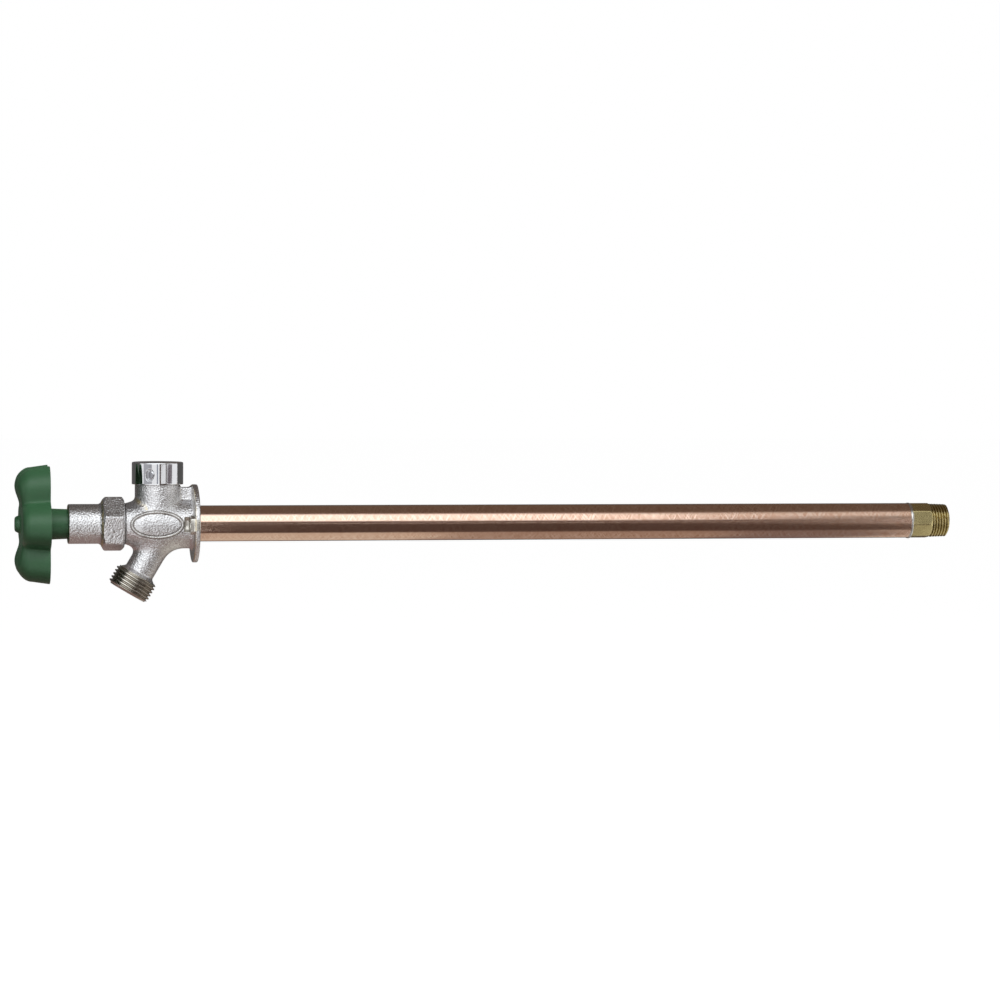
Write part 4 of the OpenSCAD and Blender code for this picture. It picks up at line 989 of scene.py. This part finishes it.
# %% Outline and front of the wheel
WHEEL_BACK_X = -90.7
WHEEL_FLAT_X = -107.8
LOBES = 6
LOBE_PITCH = 2 * math.pi / LOBES
LOBE_PITCH_R = 26.5
LOBE_R = 12.8
# How softly the root below ends, in square millimetres.
SOFT_ROOT = 40.0
VALLEY_FILLET = 11.0
DOME = 3.0
SHOULDER_R = 6.5
DRAFT = math.tan(math.radians(8.3))
WHEEL_WALL = 2.6


def lobe_reach(off):
    """Radius of a lobe's circle at the angle off from its middle. Past the circle's edge, a soft
    maximum under the root carries it on without a break."""
    room = LOBE_R ** 2 - (LOBE_PITCH_R * np.sin(off)) ** 2
    return LOBE_PITCH_R * np.cos(off) + np.sqrt((room + np.hypot(room, SOFT_ROOT)) / 2)


def wheel_rim(angle):
    """The nearest lobe and its neighbour, joined by a fillet in the valley."""
    off = np.abs(angle - LOBE_PITCH * np.round(angle / LOBE_PITCH))
    return -smooth_join(-lobe_reach(off), -lobe_reach(LOBE_PITCH - off), VALLEY_FILLET)


def wheel_dome(angle, radius):
    """Half a cosine wave over each lobe: full over its middle, nought a lobe's radius away. The two
    lobes that point sideways have none."""
    middle = LOBE_PITCH * np.round(angle * LOBES / (2 * math.pi))
    lift = np.where(np.abs(np.sin(middle)) > 0.1, DOME, 0)
    away = np.hypot(radius * np.cos(angle) - LOBE_PITCH_R * np.cos(middle),
                    radius * np.sin(angle) - LOBE_PITCH_R * np.sin(middle))
    return lift * (1 + np.cos(math.pi * np.minimum(1, away / LOBE_R))) / 2

# %% [markdown]
# The wheel is one grid. It starts in the screw's recess, runs over the boss, the front and the
# shoulder, down the sloping side, round the rim, and up the inside to the sleeve. It ends in the
# sleeve's bore, and the last row meets the first one. The front's radii come first: a fillet at the
# foot of the boss, the flat front with its domes, a rounded shoulder and the side.

# %% Front, shoulder and side
BOSS_R = 5.3
BOSS_FILLET = 1.5
SIDE_END_X = WHEEL_BACK_X - 0.35
wheel_turn = np.linspace(0, 2 * math.pi, 288, endpoint=False)[None, :]
rim_r = wheel_rim(wheel_turn)
shoulder_x = WHEEL_FLAT_X + SHOULDER_R
flat_r = rim_r - DRAFT * (WHEEL_BACK_X - shoulder_x) - SHOULDER_R
boss_bend = np.linspace(0, math.pi / 2, 7)[:, None]
foot_x = WHEEL_FLAT_X - BOSS_FILLET + BOSS_FILLET * np.sin(boss_bend)
foot_r = BOSS_R + BOSS_FILLET * (1 - np.cos(boss_bend)) + 0 * wheel_turn
front_from_r = BOSS_R + BOSS_FILLET
front_r = front_from_r + np.linspace(0, 1, 40)[1:, None] * (flat_r - front_from_r)
front_x = WHEEL_FLAT_X - wheel_dome(wheel_turn, front_r) * smoothstep(front_from_r, 14, front_r)
bend = np.linspace(0, math.pi / 2, 12)[1:, None]
bend_r = flat_r + SHOULDER_R * np.sin(bend)
bend_x = WHEEL_FLAT_X - wheel_dome(wheel_turn, bend_r) * np.cos(bend) + SHOULDER_R * (1 - np.cos(bend))
down_side = np.linspace(0, 1, 14)[1:, None]
side_r = bend_r[-1:] + down_side * (rim_r - bend_r[-1:])
side_x = shoulder_x + down_side * (SIDE_END_X - shoulder_x)
print("wheel is", round(float(2 * rim_r.max()), 1), "mm wide")

# %% [markdown]
# The hollow back follows the outline a wall's thickness further in. A cove leads into its floor, and
# a fillet leads from the floor to the sleeve.

# %% Hollow back
COVE_R = 4
SLEEVE_R = 9.6
SLEEVE_FILLET = 2.0
up_inside = np.linspace(0, 1, 10)[:, None]
floor_x = WHEEL_FLAT_X + WHEEL_WALL
inner_deep = WHEEL_BACK_X - floor_x - COVE_R
inner_r = rim_r - WHEEL_WALL - DRAFT * up_inside * inner_deep
inner_x = WHEEL_BACK_X - up_inside * inner_deep
cove = np.linspace(0, math.pi / 2, 7)[1:, None]
cove_r = inner_r[-1:] - COVE_R * (1 - np.cos(cove))
cove_x = floor_x + COVE_R * (1 - np.sin(cove))
sleeve_bend = np.linspace(math.pi / 2, 0, 7)[:, None]
root_r = SLEEVE_R + SLEEVE_FILLET * (1 - np.cos(sleeve_bend)) + 0 * wheel_turn
root_x = floor_x + SLEEVE_FILLET * (1 - np.sin(sleeve_bend))
print("hollow is", round(float(WHEEL_BACK_X - floor_x), 1), "mm deep")

# %% [markdown]
# The boss and the sleeve are plain turned shapes, so a list of places and radii is enough for them.
# The sleeve's bore has room for the stem's shaft, a hole for its square, and one for the screw.

# %% The whole wheel
BOSS_END_X = -111.3
SCREW_SEAT_X = -108.4
SCREW_SEAT_R = 3.1
SCREW_BORE_R = 2.05
SLEEVE_END_X = -69.6
SLEEVE_TIP_R = 9.1
STEM_ROOM_X = -88.8
STEM_ROOM_R = 6.0
SQUARE_END_X = -103.6
SQUARE_R = 3.55


def wide(values):
    """A value for each row, spread over every column."""
    return np.reshape(values, (-1, 1)) + 0 * wheel_turn


boss_x = [SCREW_SEAT_X, SCREW_SEAT_X, BOSS_END_X + 0.2, BOSS_END_X, BOSS_END_X, BOSS_END_X + 0.3,
          BOSS_END_X + 0.7]
boss_r = [SCREW_BORE_R, SCREW_SEAT_R, SCREW_SEAT_R, SCREW_SEAT_R + 0.2, 3.6, 4.25, 4.6]
sleeve_x = [WHEEL_BACK_X, BONNET_END_X, SLEEVE_END_X - 0.4, SLEEVE_END_X, SLEEVE_END_X,
            STEM_ROOM_X, STEM_ROOM_X, SQUARE_END_X, SQUARE_END_X]
sleeve_r = [SLEEVE_R, SLEEVE_TIP_R, SLEEVE_TIP_R, SLEEVE_TIP_R - 0.4, STEM_ROOM_R,
            STEM_ROOM_R, SQUARE_R, SQUARE_R, SCREW_BORE_R]
rim_back_x = [WHEEL_BACK_X - 0.12, WHEEL_BACK_X, WHEEL_BACK_X, WHEEL_BACK_X - 0.12]
wheel_x = np.concatenate([
    wide(boss_x), wide(foot_x), front_x, bend_x, wide(side_x),
    wide(rim_back_x), wide(inner_x[1:]), wide(cove_x), wide(root_x), wide(sleeve_x)])
wheel_r = np.concatenate([
    wide(boss_r), foot_r, front_r, bend_r, side_r,
    rim_r - 0.08, rim_r - 0.35, rim_r - WHEEL_WALL + 0.35, rim_r - WHEEL_WALL + 0.08,
    inner_r[1:], cove_r, root_r, wide(sleeve_r)])
wheel_points = around(wheel_turn, wheel_r, wheel_x)
wheel = add_mesh("wheel_casting", wheel_points, grid_faces(*wheel_x.shape, loop=True), crease=45)
finish_piece(wheel, "stem", ["handle"], ENAMEL)

# %% [markdown]
# A rib stiffens each lobe. Its section is a U upside down, with a half-round edge towards the back,
# and it is swept from the sleeve to the rim. The outer foot is drawn in, to stay inside the shoulder.

# %% Ribs in the hollow back
RIB_HALF = 1.1
RIB_EDGE_X = -98.0
RIB_SINK = 0.6
RIB_INNER_R = 8.6
RIB_FOOT_R = 33.0
RIB_OUTER_R = 36.4
RIB_END_R = 34.0
RIB_END_UP = 3
ridge_turn = np.linspace(0, math.pi, 9)
rib_foot_x = [floor_x - RIB_SINK]
rib_x = np.concatenate([rib_foot_x, RIB_EDGE_X - RIB_HALF * (1 - np.sin(ridge_turn)), rib_foot_x])
rib_off = np.concatenate([[-RIB_HALF], -RIB_HALF * np.cos(ridge_turn), [RIB_HALF]])
rib_outer_r = np.where(rib_x < floor_x, RIB_FOOT_R, RIB_OUTER_R)
# The first and the last row draw together to a point each, which closes the rib's two ends.
open_row = np.array([0, 1, 1, 0])[:, None]
rib_x = floor_x + RIB_END_UP + open_row * (rib_x - floor_x - RIB_END_UP)
rib_off = open_row * rib_off
rib_inner_r = np.full(rib_outer_r.shape, RIB_INNER_R)
rib_r = np.stack([rib_inner_r, rib_inner_r, rib_outer_r, np.full(rib_outer_r.shape, RIB_END_R)])
rib_points, rib_quads = [], []
for lobe in range(LOBES):
    rib_turn = LOBE_PITCH * lobe
    rib_points.append(np.stack([rib_x, rib_r * np.cos(rib_turn) - rib_off * np.sin(rib_turn),
                                rib_r * np.sin(rib_turn) + rib_off * np.cos(rib_turn)], -1))
    rib_quads.append(grid_faces(*rib_x.shape) + lobe * rib_x.size)
ribs = add_mesh("wheel_ribs", rib_points, np.concatenate(rib_quads), crease=50)
finish_piece(ribs, "stem", ["handle"], ENAMEL)

# %% [markdown]
# ## Camera
#
# The picture was taken with a long lens from in front, a little above and from the handle's side, so
# the flange shows a sliver of its front. The camera is turned to centre the tap in the frame, and
# has no lens shift, so the other views stay centred.

# %% Camera
CAMERA_AT = Vector((-0.200, -2.000, 0.105))
PAN = math.radians(11.04)
PITCH = math.radians(2.56)
ROLL = math.radians(0.325)
camera = bpy.data.objects.new("camera", bpy.data.cameras.new("camera"))
bpy.context.collection.objects.link(camera)
camera.data.lens = 117.06
camera.data.sensor_width = 36
camera.data.clip_end = 20
facing = Matrix.Rotation(-PAN, 4, "Z") @ Matrix.Rotation(math.pi / 2 - PITCH, 4, "X")
camera.matrix_world = Matrix.Translation(CAMERA_AT) @ facing @ Matrix.Rotation(ROLL, 4, "Z")
bpy.context.scene.camera = camera
print("camera at", tuple(CAMERA_AT))

# %% [markdown]
# ## Floor and light
#
# The tap hangs in front of a pale floor and a white surround. Both show white to the camera and to
# reflections, and the floor keeps the shadow.

# %% Floor and surround
FLOOR_Z = -0.34
FLOOR_HALF = 15
SURROUND_LIGHT = 0.11
FLOOR_GLOW = 0.94


def seen_directly(tree):
    """One for camera, glossy and transmission rays, nought for the rest."""
    path = add_node(tree, "ShaderNodeLightPath").outputs
    first = add_node(tree, "ShaderNodeMath", [path["Is Camera Ray"], path["Is Glossy Ray"]],
                     operation="MAXIMUM")
    return add_node(tree, "ShaderNodeMath", [first, path["Is Transmission Ray"]], operation="MAXIMUM")


world = bpy.data.worlds.new("white_surround")
bpy.context.scene.world = world
world_tree = bare_tree(world)
world_seen = seen_directly(world_tree)
level = add_node(world_tree, "ShaderNodeMapRange", [world_seen, 0.0, 1.0, SURROUND_LIGHT, 1.0])
sky = add_node(world_tree, "ShaderNodeBackground", {"Color": "#ffffff", "Strength": level})
add_node(world_tree, "ShaderNodeOutputWorld", {"Surface": sky})

floor_paint = bpy.data.materials.new("pale_floor")
floor_tree = bare_tree(floor_paint)
floor_seen = seen_directly(floor_tree)
floor_tone = add_node(floor_tree, "ShaderNodeMix", {0: floor_seen, 6: "#8c8c8a", 7: "#bcbcbc"},
                      data_type="RGBA")
paint = add_node(floor_tree, "ShaderNodeBsdfDiffuse", {"Color": floor_tone})
glow_level = add_node(floor_tree, "ShaderNodeMath", [floor_seen, FLOOR_GLOW], operation="MULTIPLY")
glow = add_node(floor_tree, "ShaderNodeEmission", {"Color": "#ffffff", "Strength": glow_level})
both = add_node(floor_tree, "ShaderNodeAddShader", [paint, glow])
add_node(floor_tree, "ShaderNodeOutputMaterial", {"Surface": both})


def add_flat(name, low, high, material):
    """A rectangle between two corners that agree in one coordinate, in metres."""
    low, high = np.array(low, float), np.array(high, float)
    u, v = np.flatnonzero(low != high)
    corners = np.stack([low, low, high, high])
    corners[1, u], corners[3, u] = high[u], low[u]
    mesh = bpy.data.meshes.new(name)
    mesh.from_pydata(corners.tolist(), [], [(0, 1, 2, 3)])
    mesh.materials.append(material)
    flat = bpy.data.objects.new(name, mesh)
    bpy.context.collection.objects.link(flat)
    return flat


add_flat("floor", (-FLOOR_HALF, -FLOOR_HALF, FLOOR_Z), (FLOOR_HALF, FLOOR_HALF, FLOOR_Z), floor_paint)
print("floor at", FLOOR_Z, "m")

# %% [markdown]
# **Cards.** Bare metal shows whatever stands round it. In a white room it would be white all over, so
# a photographer sets dark and warm cards near it. A horizontal tube mirrors the room in bands: cards
# overhead give its dark top, the softbox its highlight, a low card in front its dark middle, and the
# table its lighter underside. Only reflections see these cards, and each is one flat colour.

# %% Cards that only reflections see
def add_card(name, low, high, code):
    """A card with the given sRGB colour, seen by glossy rays alone."""
    material = bpy.data.materials.new(name)
    tree = bare_tree(material)
    shade = add_node(tree, "ShaderNodeEmission", {"Color": code, "Strength": 1.0})
    add_node(tree, "ShaderNodeOutputMaterial", {"Surface": shade})
    card = add_flat(name, low, high, material)
    card.visible_camera = card.visible_diffuse = card.visible_shadow = False
    card.visible_transmission = card.visible_volume_scatter = False
    return card


CARD_Z = FLOOR_Z + 0.01
CEILING_Z = 0.9
LEFT_X = -1.1
RIGHT_X = 1.3
BACK_Y = 1.45
FRONT_Y = -1.2
TABLE_Y = -0.17
TABLE_BACK_Y = 0.45
HEAD_TO_TUBE = 0.06
TABLE_TURN_X = 0.03
# Name, two corners in metres, and colour.
CARDS = [
    ("card_ceiling_head", (-1.6, -0.48, CEILING_Z), (HEAD_TO_TUBE, BACK_Y, CEILING_Z), "#64605f"),
    ("card_ceiling_tube", (HEAD_TO_TUBE, -0.48, CEILING_Z), (2.4, BACK_Y, CEILING_Z), "#6c6056"),
    ("card_back", (-1.6, BACK_Y, CARD_Z), (2.4, BACK_Y, CEILING_Z), "#62605f"),
    ("card_left", (LEFT_X, 0.0, CARD_Z), (LEFT_X, BACK_Y, CEILING_Z), "#5a5957"),
    ("card_right", (RIGHT_X, 0.1, CARD_Z), (RIGHT_X, BACK_Y, CEILING_Z), "#5a5957"),
    ("card_front_left", (LEFT_X, FRONT_Y, CARD_Z), (LEFT_X, -0.4, 0.2), "#b4b4b8"),
    ("card_front_turn", (LEFT_X, FRONT_Y, -0.09), (-0.72, FRONT_Y, 0.03), "#a8a8ac"),
    ("card_front_middle", (-0.19, FRONT_Y, -0.1), (-0.08, FRONT_Y, 0.1), "#8d929c"),
    ("table_left", (LEFT_X, -0.3, CARD_Z), (TABLE_TURN_X, BACK_Y, CARD_Z), "#947e79"),
    ("table_right", (TABLE_TURN_X, TABLE_BACK_Y, CARD_Z), (RIGHT_X, BACK_Y, CARD_Z), "#4f453f"),
    ("table_front", (TABLE_TURN_X, FRONT_Y, CARD_Z), (RIGHT_X, TABLE_Y, CARD_Z), "#574b46"),
    ("table_near", (TABLE_TURN_X, TABLE_Y, CARD_Z), (0.21, TABLE_BACK_Y, CARD_Z), "#d6d0c4"),
    ("table_middle", (0.21, TABLE_Y, CARD_Z), (0.43, TABLE_BACK_Y, CARD_Z), "#ada096"),
    ("table_far", (0.43, TABLE_Y, CARD_Z), (0.56, TABLE_BACK_Y, CARD_Z), "#857c7b"),
    ("table_end", (0.56, TABLE_Y, CARD_Z), (RIGHT_X, TABLE_BACK_Y, CARD_Z), "#dcdad2"),
    ("card_front_low", (HEAD_TO_TUBE, FRONT_Y, CARD_Z), (0.875, FRONT_Y, 0.26), "#574b46"),
    ("card_front_strip", (0.19, FRONT_Y + 0.01, -0.035), (0.72, FRONT_Y + 0.01, 0.0), "#ffffff"),
    ("card_front_gap", (0.7, FRONT_Y, 0.26), (0.85, FRONT_Y, 0.42), "#574b46"),
    ("card_front_glow", (0.7, FRONT_Y, 0.42), (0.85, FRONT_Y, 0.8), "#aba5a2"),
    ("card_front_right", (0.85, FRONT_Y, 0.3), (1.9, FRONT_Y, 0.8), "#82827e"),
    ("card_front_top", (0.74, FRONT_Y, 0.8), (1.9, FRONT_Y, 2.2), "#d0d0cc"),
    ("card_front_end", (0.95, FRONT_Y, -0.085), (2.4, FRONT_Y, -0.015), "#6b6165"),
]
for card in CARDS:
    add_card(*card)
# Seen in the tube's end, this edge of the table would darken the fitting's corners: a paler wedge
# lies on it, whose left side follows the line of sight mirrored at the end of the copper.
WEDGE_Z = CARD_Z + 0.002
wedge = add_card("table_wedge", (0.62, FRONT_Y, WEDGE_Z), (RIGHT_X, TABLE_Y, WEDGE_Z), "#eceae4")
wedge.data.vertices[0].co.x = 0.92
print("cards:", len(CARDS) + 1)

# %% [markdown]
# **Lamps.** Four softboxes, side by side, make one long highlight on top of the tube, weaker towards
# its far end. A lamp overhead and one behind light the enamel and the floor. Reflections don't show
# these two, so bare metal doesn't either.

# %% Lamps
def add_lamp(name, at, target, width, height, power, tint=(1, 1, 1)):
    """A rectangular area lamp at a place, turned to its target."""
    data = bpy.data.lights.new(name, "AREA")
    data.shape = "RECTANGLE"
    data.size, data.size_y, data.energy, data.color = width, height, power, tint
    lamp = bpy.data.objects.new(name, data)
    bpy.context.collection.objects.link(lamp)
    lamp.location = at
    lamp.rotation_euler = (Vector(target) - Vector(at)).to_track_quat("-Z", "Y").to_euler()
    return lamp


# Name, place, what it points at, width and height in metres, power in watts, and tint.
COOL = (0.9, 0.97, 1.0)
add_lamp("softbox_left", (-0.7, -1.05, 0.75), (-0.7, 0, 0), 1.6, 0.95, 5.33, COOL)
add_lamp("softbox_near", (0.23, -1.05, 0.75), (0.23, 0, 0), 0.26, 0.95, 0.56, COOL)
add_lamp("softbox_middle", (0.515, -1.05, 0.75), (0.515, 0, 0), 0.31, 0.95, 0.5, COOL)
add_lamp("softbox_right", (1.2, -0.42, 0.86), (1.1, 0, 0), 1.05, 1.0, 0.75, COOL)
overhead = add_lamp("overhead", (0.25, -0.6, 0.9), (0, 0, 0), 1.0, 1.0, 5.6)
behind = add_lamp("fill_behind", (0.1, 1.2, 0.8), (0, 0, 0), 1.5, 0.8, 3.0)
overhead.visible_glossy = behind.visible_glossy = False
